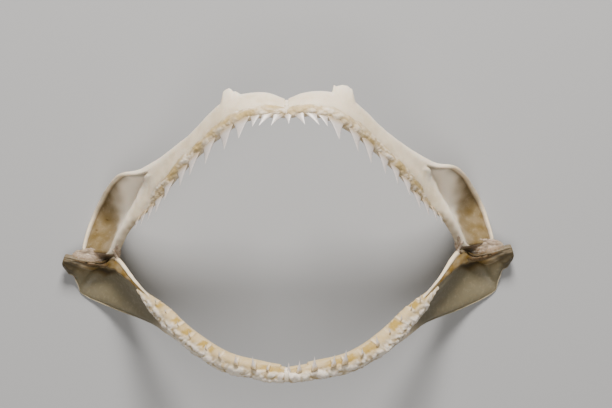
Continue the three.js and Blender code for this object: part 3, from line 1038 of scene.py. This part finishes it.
    def lower_relief(
        self, spot: Vector, angle: float, off: float
    ) -> tuple[float, Masks]:
        """Shapes the lower jaw's white folds and the golden pits between them, with the folds' tops
        painted whiter as highlight and their valleys and the pits painted darker as shade.

        Args:
            spot: How far along the jaw and across the gum a point is, in millimetres.
            angle: Its angle in the outline.
            off: How far it is from a tooth, up to 0.5.

        Returns:
            How much is added to the gum's thickness, and the masks.
        """
        seed = self.LOWER_SEEDS[self.side]
        stretched = Vector((spot.x * self.LOWER_STRETCH, spot.y, 0))
        crease = folds(stretched, self.LOWER_CREASE, seed)
        waved = angle + self.FRONT_WAVE * grain(spot, self.FRONT_SIZE, seed + 5)
        front = smoothstep(*self.FRONT, waved)
        uneven = grain(Vector((spot.x, 0, 0)), self.UNEVEN_SIZE, seed + 2)
        rib = bell(off, self.RIB_WIDTH + self.RIB_WIDER * uneven)
        rib *= bell(angle + self.RIB_OFF, self.RIB_ANGLE)
        strong = smoothstep(*self.RIB_FADE, grain(Vector((spot.x, 4, 0)), self.RIB_SIZE, seed + 3))
        rib *= self.RIB_LEAST + (1 - self.RIB_LEAST) * strong
        wobble = self.WOBBLE * grain(spot, self.WOBBLE_SIZE, seed + 4)
        far = abs(angle - self.PIT_OFF + self.PIT_WAVE * uneven + wobble)
        pit = smoothstep(*self.PIT_CLEAR, off + 0.5 * wobble)
        pit *= 1 - smoothstep(*self.PIT_EDGE, far)
        pit *= self.PIT_LEAST + (1 - self.PIT_LEAST) * smoothstep(*self.PIT_FADE, uneven)
        lumps = self.LUMP_HIGH * (crease - self.LUMP_MIDDLE)
        lumps += self.GRIT_HIGH * grain(spot, self.GRIT_SIZE, seed)
        lift = lumps * (self.LUMP_LEAST + (1 - self.LUMP_LEAST) * front) + self.RIB_HIGH * rib
        lift -= self.PIT_DEEP * pit
        blush = 0.5 * smoothstep(*self.BLUSH, grain(spot, self.BLUSH_SIZE, seed + 7)) * front
        gold = max((1 - front) * self.GOLD_SHOWS, pit) * smoothstep(*self.GOLD_ENDS, angle)
        # dark paints shade in the crease valleys, and the whiter crease tops are painted highlight.
        dark = smoothstep(*self.DARK, crease) * front
        return lift, {
            Mask.STAIN: max(gold * (1 - 0.4 * rib), blush, 0.5 * dark),
            Mask.RECESS: max(0.25 * pit, 0.25 * dark),
            Mask.BLEACH: max(front * (1 - blush) * smoothstep(*self.WHITE, crease), 0.4 * rib),
        }

    def closed(self, point: Vector) -> Vector:
        """Keeps a point off the midline and puts it on its side."""
        point.x = max(point.x, self.OFF_MIDLINE)
        return placed(point, self.side)


# ---- teeth ----


@dataclass(frozen=True)
class ToothForm:
    """The sizes of a row's largest tooth, in millimetres, and how it stands in the gum."""

    length: float
    width: float
    thickness: float
    rise: tuple[float, float]
    sunk: float
    forward: float
    flare: float
    root: float = 0.3


UPPER_TOOTH = ToothForm(11.4, 10.2, 2.6, (-0.87, 0.5), 0.6, 1.5, 0.42)
LOWER_TOOTH = ToothForm(6.0, 3.3, 1.7, (0.98, 0.12), -0.2, 1.5, 0.5)


@dataclass
class ToothRow:
    """The front row of teeth of a half jaw, as one piece."""

    jaw: HalfJaw
    side: Side
    form: ToothForm
    row: tuple[Tooth, ...]
    finish: bpy.types.Material
    part: str = ""
    steps: int = 22
    around: int = 20

    CUSP_POWER, BASE_POWER = 0.9, 3
    CLOSING = 0.12
    TIP_SHARE, TAPER = 0.25, 0.6
    FLAT_FACE = 0.7
    SERRATION, SERRATED_TO = 0.03, 0.95
    ROOT_STAIN = (-0.05, 0.3)

    def build(self) -> bpy.types.Object:
        """Makes the row and dresses it.

        Returns:
            The piece.
        """
        mesh = bmesh.new()
        layers = {mask: mesh.verts.layers.float.new(mask.value) for mask in Mask}
        for tooth in self.row:
            self.add(mesh, layers, tooth)
        made = finished(f"{self.jaw.name}_teeth_{self.part or self.side.word}", mesh)
        grown_from = "symphysis" if self.part else f"gum_{self.side.word}"
        node = f"{self.jaw.name}_{grown_from}"
        dressed(made, self.finish, [node])
        return made

    def add(self, mesh: bmesh.types.BMesh, layers: dict, tooth: Tooth) -> None:
        """Adds one tooth: a grid wrapped round into a flat, hollow-edged blade.

        Args:
            mesh: The row's bmesh.
            layers: Its attribute layer for each mask.
            tooth: The tooth.
        """
        form = self.form
        section = self.jaw.section(self.jaw.station_at(tooth.out))
        rise_y, rise_z = form.rise
        way = Vector((tooth.lean * abs(rise_y), rise_y, rise_z))
        wide = section.tangent
        face = way.cross(wide).normalized()
        if face.dot(section.outer) < 0:
            face.negate()
        root = section.at(Vector((form.sunk, form.forward)))
        grid = bmesh.ops.create_grid(
            mesh, x_segments=self.steps, y_segments=self.around, size=1.0
        )["verts"]
        for vert in grid:
            up_share = (vert.co.x + 1) / 2
            angle = (vert.co.y + 1) * math.pi
            rising = up_share * (1 + form.root) - form.root
            clear = max(rising, 0.0)
            base, cusp = (1 - clear) ** self.BASE_POWER, (1 - clear) ** self.CUSP_POWER
            blade = form.flare * base + (1 - form.flare) * cusp
            closing = smoothstep(-form.root, -form.root + self.CLOSING, rising)
            half_wide = form.width / 2 * blade * closing
            thinner = self.TIP_SHARE + (1 - self.TIP_SHARE) * (1 - clear)
            half_thick = form.thickness / 2 * thinner * (1 - clear) ** self.TAPER
            flat = self.FLAT_FACE if math.sin(angle) > 0 else 1.0
            edge = math.cos(up_share * self.steps * math.pi) * (0 < clear < self.SERRATED_TO)
            notch = 1 + self.SERRATION * edge
            place = (
                root
                + wide * (tooth.size * half_wide * math.cos(angle) * notch)
                + face * (tooth.size * half_thick * closing * math.sin(angle) * flat)
                + way * (tooth.size * form.length * rising)
            )
            vert.co = placed(place, self.side)
            vert[layers[Mask.STAIN]] = 1 - smoothstep(*self.ROOT_STAIN, rising)
        bmesh.ops.remove_doubles(mesh, verts=grid, dist=2e-6)


# ---- soft joins ----


@dataclass
class Symphysis:
    """The pad of dried fibre between the two halves of a jaw."""

    jaw: HalfJaw
    form: GumForm
    finish: bpy.types.Material
    sunk: float
    paleness: float
    half_width: float = 1.7
    around: int = 80
    rows: int = 16

    COVERED = (0.6, 1.0)
    ROUGH, ROUGH_SIZE = 0.35, 1.8

    def build(self) -> bpy.types.Object:
        """Makes the pad and dresses it.

        Returns:
            The piece.
        """
        name = f"{self.jaw.name}_symphysis"
        made = wrapped(f"{name}_pad", self.rows, self.around, self.surface)
        dressed(made, self.finish, [name])
        return made

    def surface(self, row: int, share: float) -> tuple[Vector, Masks]:
        """Gives a point of the pad and what shows there.

        Args:
            row: The number of the row along the pad.
            share: The share of the way round it.

        Returns:
            The point in metres, and its masks.
        """
        section = self.jaw.section(0.0)
        angle = math.tau * share if share <= 0.5 else math.tau * (share - 1)
        along = row / self.rows * 2 - 1
        full = math.sqrt(max(1 - along**4, 0.0))
        reach = self.form.reach(section, angle > 0)
        covered = 1 - smoothstep(*self.COVERED, abs(angle) / reach)
        gum = self.form.thickness(section, max(min(angle, reach), -reach)) * covered
        point = section.at(section.outline(angle))
        rough = grain(point + Vector((along, 0, 0)), self.ROUGH_SIZE, 12)
        lift = (gum - self.sunk) + self.ROUGH * rough
        point += section.turned(section.normal(angle)) * lift
        middle = section.at(Vector((section.depth / 2, 0.0)))
        point = middle + (point - middle) * full
        point.x = along * self.half_width
        stain = 0.5 * (1 - self.paleness) + 0.3 * grain(point, 1.5, 5)
        return placed(point, Side.RIGHT), {Mask.STAIN: stain, Mask.BLEACH: self.paleness}


@dataclass(frozen=True)
class Strip:
    """A place along a ligament's middle line, with its half width there, in millimetres."""

    at: tuple[float, float]
    half_width: float
    base: float


LIGAMENT = (
    Strip((90.4, -5.4), 2.4, 19.0),
    Strip((90.9, -9.8), 3.1, 18.0),
    Strip((92.8, -12.2), 4.3, 16.0),
    Strip((98.4, -13.9), 5.2, 13.5),
    Strip((103.8, -13.8), 5.0, 12.0),
    Strip((109.4, -13.2), 4.0, 12.0),
    Strip((114.6, -12.8), 2.8, 11.0),
)


@dataclass
class JointLigament:
    """The dried, wrinkled ligament that is draped over a jaw joint.

    PIT, HOLE and AMBER are each a place and its half widths, and CREST is a place and a slant, in
    millimetres on the half jaw. TOP is the share of the way round that lies on top. Sizes, heights
    and depths are in millimetres. COARSE_EDGE and FINE_EDGE are the amount and the size of the
    edge's waves. CORNER is how far beyond the crest the upper corner begins. ROLLED, UPPER_EDGE and
    LOWER_EDGE are places across the ligament, and the other pairs are values of a noise.
    """

    side: Side
    finish: bpy.types.Material
    bones: Sequence[bpy.types.Object]
    rows: int = 150
    around: int = 110
    trees: list[BVHTree] = field(default_factory=list)

    TOP = 0.62
    THICK = 3.4
    PROUD = 0.8
    PIT = ((96.2, -15.2), (5.2, 2.5))
    HOLE = ((106.8, -16.8), (1.0, 0.5))
    CREST = ((92.0, -9.6), 0.5)
    AMBER = ((95.4, -17.4), (3.4, 1.0))
    SPREAD = (-1.2, 0.0, 1.2)
    FROM_ABOVE = 60
    SEEDS = {Side.LEFT: 6, Side.RIGHT: 8}
    END_POWER, EDGE_POWER, END_STEP = 8, 4, 0.001
    COARSE_EDGE, FINE_EDGE = (0.16, 2.6), (0.1, 1.1)
    BELOW = 0.5
    CREASE_SIZE, CREASE_STRETCH = 3.4, 0.5
    CREASE_HIGH, CREASE_SUNK = 0.9, 0.45
    CREST_WIDTH, CREST_BEGINS, CREST_ENDS = 1.1, 1.5, 1.0
    CORNER, ROLLED = (-1.8, -0.8), (-0.6, 0.8)
    PIT_DEEP, EDGE_DEEP, HOLE_DEEP = 1.2, 0.6, 0.6
    PATCHES, PATCH_SIZE = (-0.1, 0.4), 3.2
    MOTTLE, MOTTLE_SIZE = (-0.2, 0.3), 1.8
    VALLEY, UPPER_EDGE, LOWER_EDGE = (0.4, 0.15), (0.35, -0.25), (-0.1, 0.6)

    def build(self) -> bpy.types.Object:
        """Makes the ligament and dresses it.

        Returns:
            The piece.
        """
        for bone in self.bones:
            mesh = bmesh.new()
            mesh.from_mesh(bone.data)
            self.trees.append(BVHTree.FromBMesh(mesh))
            mesh.free()
        name = f"jaw_joint_{self.side.word}"
        made = wrapped(f"{name}_ligament", self.rows, self.around, self.surface)
        dressed(made, self.finish, [name])
        return made

    def draped(self, spot: Vector, base: float) -> float:
        """Finds how high the bones lie below a place, smoothed over the gaps between them.

        Args:
            spot: The place on one side, before it is put on its own side.
            base: The height to take where there is no bone.

        Returns:
            The height in millimetres.
        """
        heights = []
        for shift_x in self.SPREAD:
            for shift_y in self.SPREAD:
                start = placed(spot + Vector((shift_x, shift_y, self.FROM_ABOVE)), self.side)
                tops = [base]
                for tree in self.trees:
                    hit = tree.ray_cast(start, Vector((0, 0, -1)))[0]
                    if hit:
                        tops.append(hit.z / MM + TABLE)
                heights.append(max(tops))
        return sum(heights) / len(heights)

    def surface(self, row: int, share: float) -> tuple[Vector, Masks]:
        """Gives a point of the ligament and what shows there.

        Args:
            row: The number of the row along the ligament.
            share: The share of the way round it.

        Returns:
            The point in metres, and its masks.
        """
        path = Curve.through([(*strip.at, 0) for strip in LIGAMENT])
        sizes = Curve.through([(strip.half_width, strip.base, 0) for strip in LIGAMENT])
        along = row / self.rows
        tangent = path.tangent(min(max(along, self.END_STEP), 1 - self.END_STEP))
        wide = Vector((tangent.y, -tangent.x, 0))
        half_width, base, _ = sizes.at(along)
        full = math.sqrt(max(1 - (2 * along - 1) ** self.END_POWER, 0.0))
        on_top = share < self.TOP
        across = share / self.TOP if on_top else (1 - share) / (1 - self.TOP)
        across = 2 * across - 1
        seed = self.SEEDS[self.side]
        middle = path.at(along)
        edge = 1 + Grain(*self.COARSE_EDGE, seed).at(middle)
        edge += Grain(*self.FINE_EDGE, seed).at(middle)
        spot = middle + wide * (half_width * full * across * edge)
        drape = self.draped(spot, base)
        swell = math.sqrt(max(1 - across**self.EDGE_POWER, 0.0)) * full
        if not on_top:
            spot.z = drape - self.THICK * swell - self.BELOW
            return placed(spot, self.side), {Mask.STAIN: 0.7}
        stretched = Vector((spot.x * self.CREASE_STRETCH, spot.y, 0))
        crease = folds(stretched, self.CREASE_SIZE, seed)
        # The pit and the small hole are sunk and painted dark as shade.
        pit, hole = (
            bell((spot.x - at[0]) / size[0], 1.0) * bell((spot.y - at[1]) / size[1], 1.0)
            for at, size in (self.PIT, self.HOLE)
        )
        (crest_x, crest_y), slant = self.CREST
        beyond = spot.x - crest_x - slant * (spot.y - crest_y)
        crest = bell(beyond, self.CREST_WIDTH)
        crest *= smoothstep(crest_y + self.CREST_BEGINS, crest_y - self.CREST_ENDS, spot.y)
        corner = 1 - smoothstep(*self.CORNER, beyond)
        lift = self.PROUD * smoothstep(*self.ROLLED, across)
        lift += (self.CREASE_HIGH * crease - self.CREASE_SUNK) * (1 - corner)
        lift = lift + crest - self.PIT_DEEP * pit * (1 - crest)
        spot.z = drape + lift * swell - self.EDGE_DEEP * (1 - swell) - self.HOLE_DEEP * hole
        patches = smoothstep(*self.PATCHES, grain(spot, self.PATCH_SIZE, seed + 3))
        spots = smoothstep(*self.MOTTLE, grain(spot, self.MOTTLE_SIZE, seed + 4))
        mottle = 0.4 * corner * spots
        # Crease valleys are painted darker as shade.
        line = 0.7 * smoothstep(*self.VALLEY, crease)
        (amber_x, amber_y), (long, high) = self.AMBER
        amber = bell(spot.y - amber_y, high) * bell(spot.x - amber_x, long)
        # The upper side is painted paler as highlight, the corner over the lower ridge pale like
        # it, and the lower edge darker as shade.
        pale = max(0.5 * smoothstep(*self.UPPER_EDGE, across) * (1 - pit), 0.9 * corner)
        under = 0.6 * smoothstep(*self.LOWER_EDGE, across) * (1 - corner)
        # The crest is painted lighter as highlight.
        masks = {
            Mask.STAIN: max(pit, 0.25 * patches, mottle, 0.6 * line, amber, under) * (1 - crest),
            Mask.RECESS: max(pit * (1 - 0.7 * amber), hole, 0.4 * line, 0.4 * mottle) * (1 - crest),
            Mask.BLEACH: max(crest, pale),
        }
        return placed(spot, self.side), masks


# ---- finishes ----


def linear(colour: str) -> tuple[float, float, float, float]:
    """Turns an sRGB hex colour to Blender's linear one."""
    parts = [int(colour[i : i + 2], 16) / 255 for i in (1, 3, 5)]
    return (*[p / 12.92 if p <= 0.04045 else ((p + 0.055) / 1.055) ** 2.4 for p in parts], 1.0)


def add(
    tree: bpy.types.NodeTree,
    kind: str,
    settings: dict[str, object] | None = None,
    inputs: dict[str | int, object] | None = None,
) -> bpy.types.NodeOutputs:
    """Adds a node.

    Args:
        tree: The material's tree.
        kind: The node's type, without the words that all types begin with.
        settings: Its properties.
        inputs: Its inputs by name or number, each a plain value or another node's output.

    Returns:
        The node's outputs.
    """
    node = tree.nodes.new(f"ShaderNode{kind}")
    for name, value in (settings or {}).items():
        setattr(node, name, value)
    for name, value in (inputs or {}).items():
        if isinstance(value, bpy.types.NodeSocket):
            tree.links.new(value, node.inputs[name])
        else:
            node.inputs[name].default_value = value
    return node.outputs


@dataclass(frozen=True)
class Tissue:
    """A dried natural surface: a pale body colour with stains, pale parts and dark spots, and with
    painted highlights and painted shade.

    Pattern sizes are in millimetres.
    """

    name: str
    body: str
    stain: str
    recess: str
    bleach: str
    blotch: str
    blotch_size: float
    pore_size: float
    bump: float
    roughness: tuple[float, float]
    subsurface: float
    radius: tuple[float, float, float]
    ior: float = 1.5
    coat: float = 0.0

    BLOTCH_NOISE, FIBRE_NOISE = (4.0, 0.6), (6.0, 0.62)
    FIBRE_TO_PORE, FIBRE_RANGE = 2.2, (0.3, 0.7)
    PATCHES, BLOTCH_SHARE = (0.45, 0.64), 0.55
    UNEVEN = (0.5, 0.76)
    PORE_DEEP, BUMP_HIGH = -0.35, 0.4
    COAT_ROUGHNESS = 0.25

    def material(self) -> bpy.types.Material:
        """Makes the material.

        Returns:
            The material, with its colours mixed by the pieces' masks.
        """
        made = bpy.data.materials.new(self.name)
        made.use_nodes = True
        tree = made.node_tree
        tree.nodes.clear()
        place = add(tree, "TexCoord")["Object"]
        blotches, fibre = (
            add(tree, "TexNoise", {}, {
                "Vector": place, "Scale": 1 / (size * MM), "Detail": detail, "Roughness": rough,
            })["Fac"]
            for size, detail, rough in (
                (self.blotch_size, *self.BLOTCH_NOISE),
                (self.pore_size * self.FIBRE_TO_PORE, *self.FIBRE_NOISE),
            )
        )
        pores = add(tree, "TexVoronoi", {}, {
            "Vector": place, "Scale": 1 / (self.pore_size * MM), "Randomness": 1.0,
        })["Distance"]
        low, high = self.PATCHES
        patches = add(
            tree, "MapRange", {"interpolation_type": "SMOOTHSTEP"}, {0: blotches, 1: low, 2: high}
        )[0]
        by, least = self.UNEVEN
        uneven = add(
            tree, "Math", {"operation": "MULTIPLY_ADD", "use_clamp": True},
            {0: fibre, 1: by, 2: least},
        )[0]
        # Over the body colour go random blotches, then pale parts with painted highlights and
        # shade, then stains with painted shade, then painted shade with dark spots.
        layers = [(patches, self.BLOTCH_SHARE, self.blotch)]
        for mask, paint in (
            (Mask.BLEACH, self.bleach), (Mask.STAIN, self.stain), (Mask.RECESS, self.recess)
        ):
            marked = add(tree, "Attribute", {"attribute_name": mask.value})["Fac"]
            layers.append((marked, uneven, paint))
        colour = linear(self.body)
        for amount, times, paint in layers:
            share = add(
                tree, "Math", {"operation": "MULTIPLY", "use_clamp": True}, {0: amount, 1: times}
            )[0]
            colour = add(
                tree, "Mix", {"data_type": "RGBA"}, {0: share, 6: colour, 7: linear(paint)}
            )[2]
        smooth, rough = self.roughness
        low, high = self.FIBRE_RANGE
        roughness = add(
            tree, "MapRange", {}, {0: fibre, 1: low, 2: high, 3: smooth, 4: rough}
        )[0]
        height = add(
            tree, "Math", {"operation": "MULTIPLY_ADD"}, {0: pores, 1: self.PORE_DEEP, 2: fibre}
        )[0]
        bump = add(tree, "Bump", {}, {
            "Height": height, "Strength": self.bump, "Distance": self.BUMP_HIGH * MM,
        })["Normal"]
        shader = add(tree, "BsdfPrincipled", {}, {
            "Base Color": colour,
            "Roughness": roughness,
            "Normal": bump,
            "IOR": self.ior,
            "Subsurface Weight": self.subsurface,
            "Subsurface Radius": self.radius,
            "Subsurface Scale": MM,
            "Coat Weight": self.coat,
            "Coat Roughness": self.COAT_ROUGHNESS,
        })[0]
        add(tree, "OutputMaterial", {}, {"Surface": shader})
        return made


# Calcified cartilage, cleaned and air dried: ivory with a satin, faintly pored skin.
CARTILAGE = Tissue(
    name="air_dried_calcified_cartilage",
    body="#e9dac0",
    # The stain colour below is real stain and also painted shade just inside the fossa's rim; the
    # dark colour after it is painted shade on the rim's inner wall, with a few real dark specks;
    # the light colour after that is painted highlight on the ridge and along the far edge, and
    # painted light on the fossa floor.
    stain="#685322",
    recess="#4a3310",
    bleach="#fdf2e0",
    blotch="#d6c4a2",
    blotch_size=9.0,
    pore_size=0.9,
    bump=0.22,
    roughness=(0.42, 0.6),
    subsurface=0.2,
    radius=(1.6, 0.9, 0.5),
)
# The same cartilage for the lower jaws, painted greyer and darker on its plate and knob as shade;
# its stain and dark colours also paint shade under the joint's ledge, in the socket, the hollow and
# the notch.
SHADED_CARTILAGE = replace(
    CARTILAGE,
    name="air_dried_calcified_cartilage_with_dried_grease",
    stain="#7a5f20",
    recess="#33260a",
    # The grey-olive colour below is painted shade on the lower plates.
    bleach="#756d56",
    bump=0.1,
)
# Gum, air dried in folds: pale, and ochre where it is thin; the tops of its folds are painted
# whiter as highlight and its crease valleys darker as shade.
GUM = Tissue(
    name="air_dried_gum",
    body="#e4d6c0",
    stain="#b3953f",
    recess="#6b4f20",
    bleach="#efe5d7",
    blotch="#d3be98",
    blotch_size=4.0,
    pore_size=0.8,
    bump=0.4,
    roughness=(0.45, 0.68),
    subsurface=0.15,
    radius=(1.5, 1.1, 0.7),
)
# Ligament, air dried: tan with amber patches; its upper side and crest are painted paler as
# highlight, and its creases, pit, hole and lower edge darker as shade.
LIGAMENT_SKIN = Tissue(
    name="air_dried_ligament",
    body="#7d6850",
    stain="#5c4415",
    recess="#1c1202",
    bleach="#c4b2a0",
    blotch="#6e5736",
    blotch_size=3.0,
    pore_size=0.7,
    bump=0.45,
    roughness=(0.4, 0.62),
    subsurface=0.15,
    radius=(1.8, 0.9, 0.4),
)
# Tooth enamel, natural and dry: satin and a little translucent, warmer at the root.
ENAMEL = Tissue(
    name="natural_tooth_enamel",
    body="#c8c1bd",
    stain="#b39e7a",
    recess="#8d7a5c",
    bleach="#f1efee",
    blotch="#bdb5b2",
    blotch_size=2.5,
    pore_size=0.5,
    bump=0.06,
    roughness=(0.3, 0.42),
    subsurface=0.4,
    radius=(1.4, 1.2, 1.1),
    ior=1.62,
    coat=0.1,
)


# ---- studio ----


@dataclass(frozen=True)
class Lamp:
    """A square soft light: its place and side in metres, its watts and its colour."""

    name: str
    at: tuple[float, float, float]
    size: float
    watts: float
    colour: str


@dataclass(frozen=True)
class Studio:
    """The pale table, the soft lights and the camera straight above the jaws."""

    lamps: tuple[Lamp, ...] = (
        Lamp("key", (0.05, 1.1, 0.85), 0.45, 40.0, "#fff9f2"),
        Lamp("fill", (-0.1, -0.4, 1.6), 0.9, 14.0, "#fffaf3"),
    )
    lit_at: tuple[float, float, float] = (0.0, 0.0, 0.05)
    surround: str = "#f5f1eb"
    surround_strength: float = 0.1
    table_colour: str = "#a2a4a7"
    table_roughness: float = 0.85
    floor_half: float = 3.0
    camera_at: tuple[float, float, float] = (0.0096, 0.0147, 1.0977)
    lens: float = 120.65
    sensor: float = 36.0

    def build(self) -> None:
        """Makes the table, the lights and the camera."""
        self.floor()
        for lamp in self.lamps:
            self.light(lamp)
        world = bpy.data.worlds.new("studio")
        world.use_nodes = True
        background = world.node_tree.nodes["Background"]
        background.inputs["Color"].default_value = linear(self.surround)
        background.inputs["Strength"].default_value = self.surround_strength
        bpy.context.scene.world = world
        lens = bpy.data.cameras.new("camera")
        lens.sensor_fit = "HORIZONTAL"
        lens.sensor_width = self.sensor
        lens.lens = self.lens
        lens.clip_start = 0.01
        camera = bpy.data.objects.new("camera", lens)
        camera.location = self.camera_at
        bpy.context.scene.collection.objects.link(camera)
        bpy.context.scene.camera = camera

    def floor(self) -> None:
        """Makes the table."""
        mesh = bmesh.new()
        bmesh.ops.create_grid(mesh, x_segments=1, y_segments=1, size=self.floor_half)
        data = bpy.data.meshes.new("table")
        mesh.to_mesh(data)
        mesh.free()
        table = bpy.data.objects.new("table", data)
        bpy.context.scene.collection.objects.link(table)
        paint = bpy.data.materials.new("matt_painted_board")
        paint.use_nodes = True
        shader = paint.node_tree.nodes["Principled BSDF"]
        shader.inputs["Base Color"].default_value = linear(self.table_colour)
        shader.inputs["Roughness"].default_value = self.table_roughness
        table.data.materials.append(paint)

    def light(self, lamp: Lamp) -> None:
        """Adds a soft light that shines at the jaws.

        Args:
            lamp: Its place, size, power and colour.
        """
        data = bpy.data.lights.new(lamp.name, "AREA")
        data.size = lamp.size
        data.energy = lamp.watts
        data.color = linear(lamp.colour)[:3]
        made = bpy.data.objects.new(lamp.name, data)
        made.location = lamp.at
        way = Vector(self.lit_at) - Vector(lamp.at)
        made.rotation_euler = way.to_track_quat("-Z", "Y").to_euler()
        bpy.context.scene.collection.objects.link(made)


# ---- all of it ----


UPPER_GUM = GumForm(
    last_station=17 / 3,
    outer=1.2,
    inner=1.0,
    inner_reach=12,
    crest_inward=0.2,
    swell=1.6,
    edge_fade=0.75,
    torn=0.08,
    shadow=0.0,
)
LOWER_GUM = GumForm(
    last_station=4.8,
    outer=2.2,
    inner=1.6,
    inner_reach=11,
    crest_inward=0.5,
    swell=0.01,
    edge_fade=0.16,
    torn=0.12,
    shadow=0.8,
)
WORN_TO = {Side.LEFT: 0.86, Side.RIGHT: 0.32}
WORN_MIDDLE = 0.3
PROCESSES = {
    Side.LEFT: OrbitalProcess(
        ((22.4, 0.0), (23.6, 3.8), (30.0, 6.0), (32.6, 5.6), (34.6, 0.0)), ragged=0.12
    ),
    Side.RIGHT: OrbitalProcess(
        ((22.6, 0.0), (26.0, 2.4), (29.2, 5.6), (31.6, 5.6), (33.4, 0.0)), ragged=0.1
    ),
}
UPPER_ROWS, LOWER_ROWS = Rows(0.0, 7.0, 360), Rows(0.0, 8.0, 360)
LOWER_RAISED = 1.6
UPPER_TEETH = {Side.LEFT: UPPER_LEFT_ROW, Side.RIGHT: UPPER_RIGHT_ROW}
LOWER_TEETH = {Side.LEFT: LOWER_LEFT_ROW, Side.RIGHT: LOWER_RIGHT_ROW}


def main() -> None:
    """Builds the jaws, the table, the lights and the camera."""
    logging.basicConfig(level=logging.INFO, format="%(name)s %(message)s")
    Studio().build()
    cartilage, lower_cartilage = CARTILAGE.material(), SHADED_CARTILAGE.material()
    gum = GUM.material()
    ligament, enamel = LIGAMENT_SKIN.material(), ENAMEL.material()
    for side in Side:
        upper = Cartilage(UPPER, side, cartilage, UPPER_ROWS, process=PROCESSES[side])
        lower = Cartilage(LOWER, side, lower_cartilage, LOWER_ROWS, raised=LOWER_RAISED)
        bones = [upper.build(), lower.build()]
        worn_gum = replace(LOWER_GUM, gap_to=WORN_TO[side])
        Gum(UPPER, side, UPPER_GUM, UPPER_TEETH[side], gum).build()
        Gum(LOWER, side, worn_gum, LOWER_TEETH[side], gum).build()
        ToothRow(UPPER, side, UPPER_TOOTH, UPPER_TEETH[side], enamel).build()
        ToothRow(LOWER, side, LOWER_TOOTH, LOWER_TEETH[side], enamel).build()
        JointLigament(side, ligament, bones).build()
    ToothRow(UPPER, Side.LEFT, UPPER_TOOTH, MEDIAN_TOOTH, enamel, part="middle").build()
    Symphysis(UPPER, UPPER_GUM, gum, sunk=0.3, paleness=0.75).build()
    Symphysis(
        LOWER, replace(LOWER_GUM, gap_to=WORN_MIDDLE), gum, sunk=0.2, paleness=0.8
    ).build()


if __name__ == "__main__":
    main()
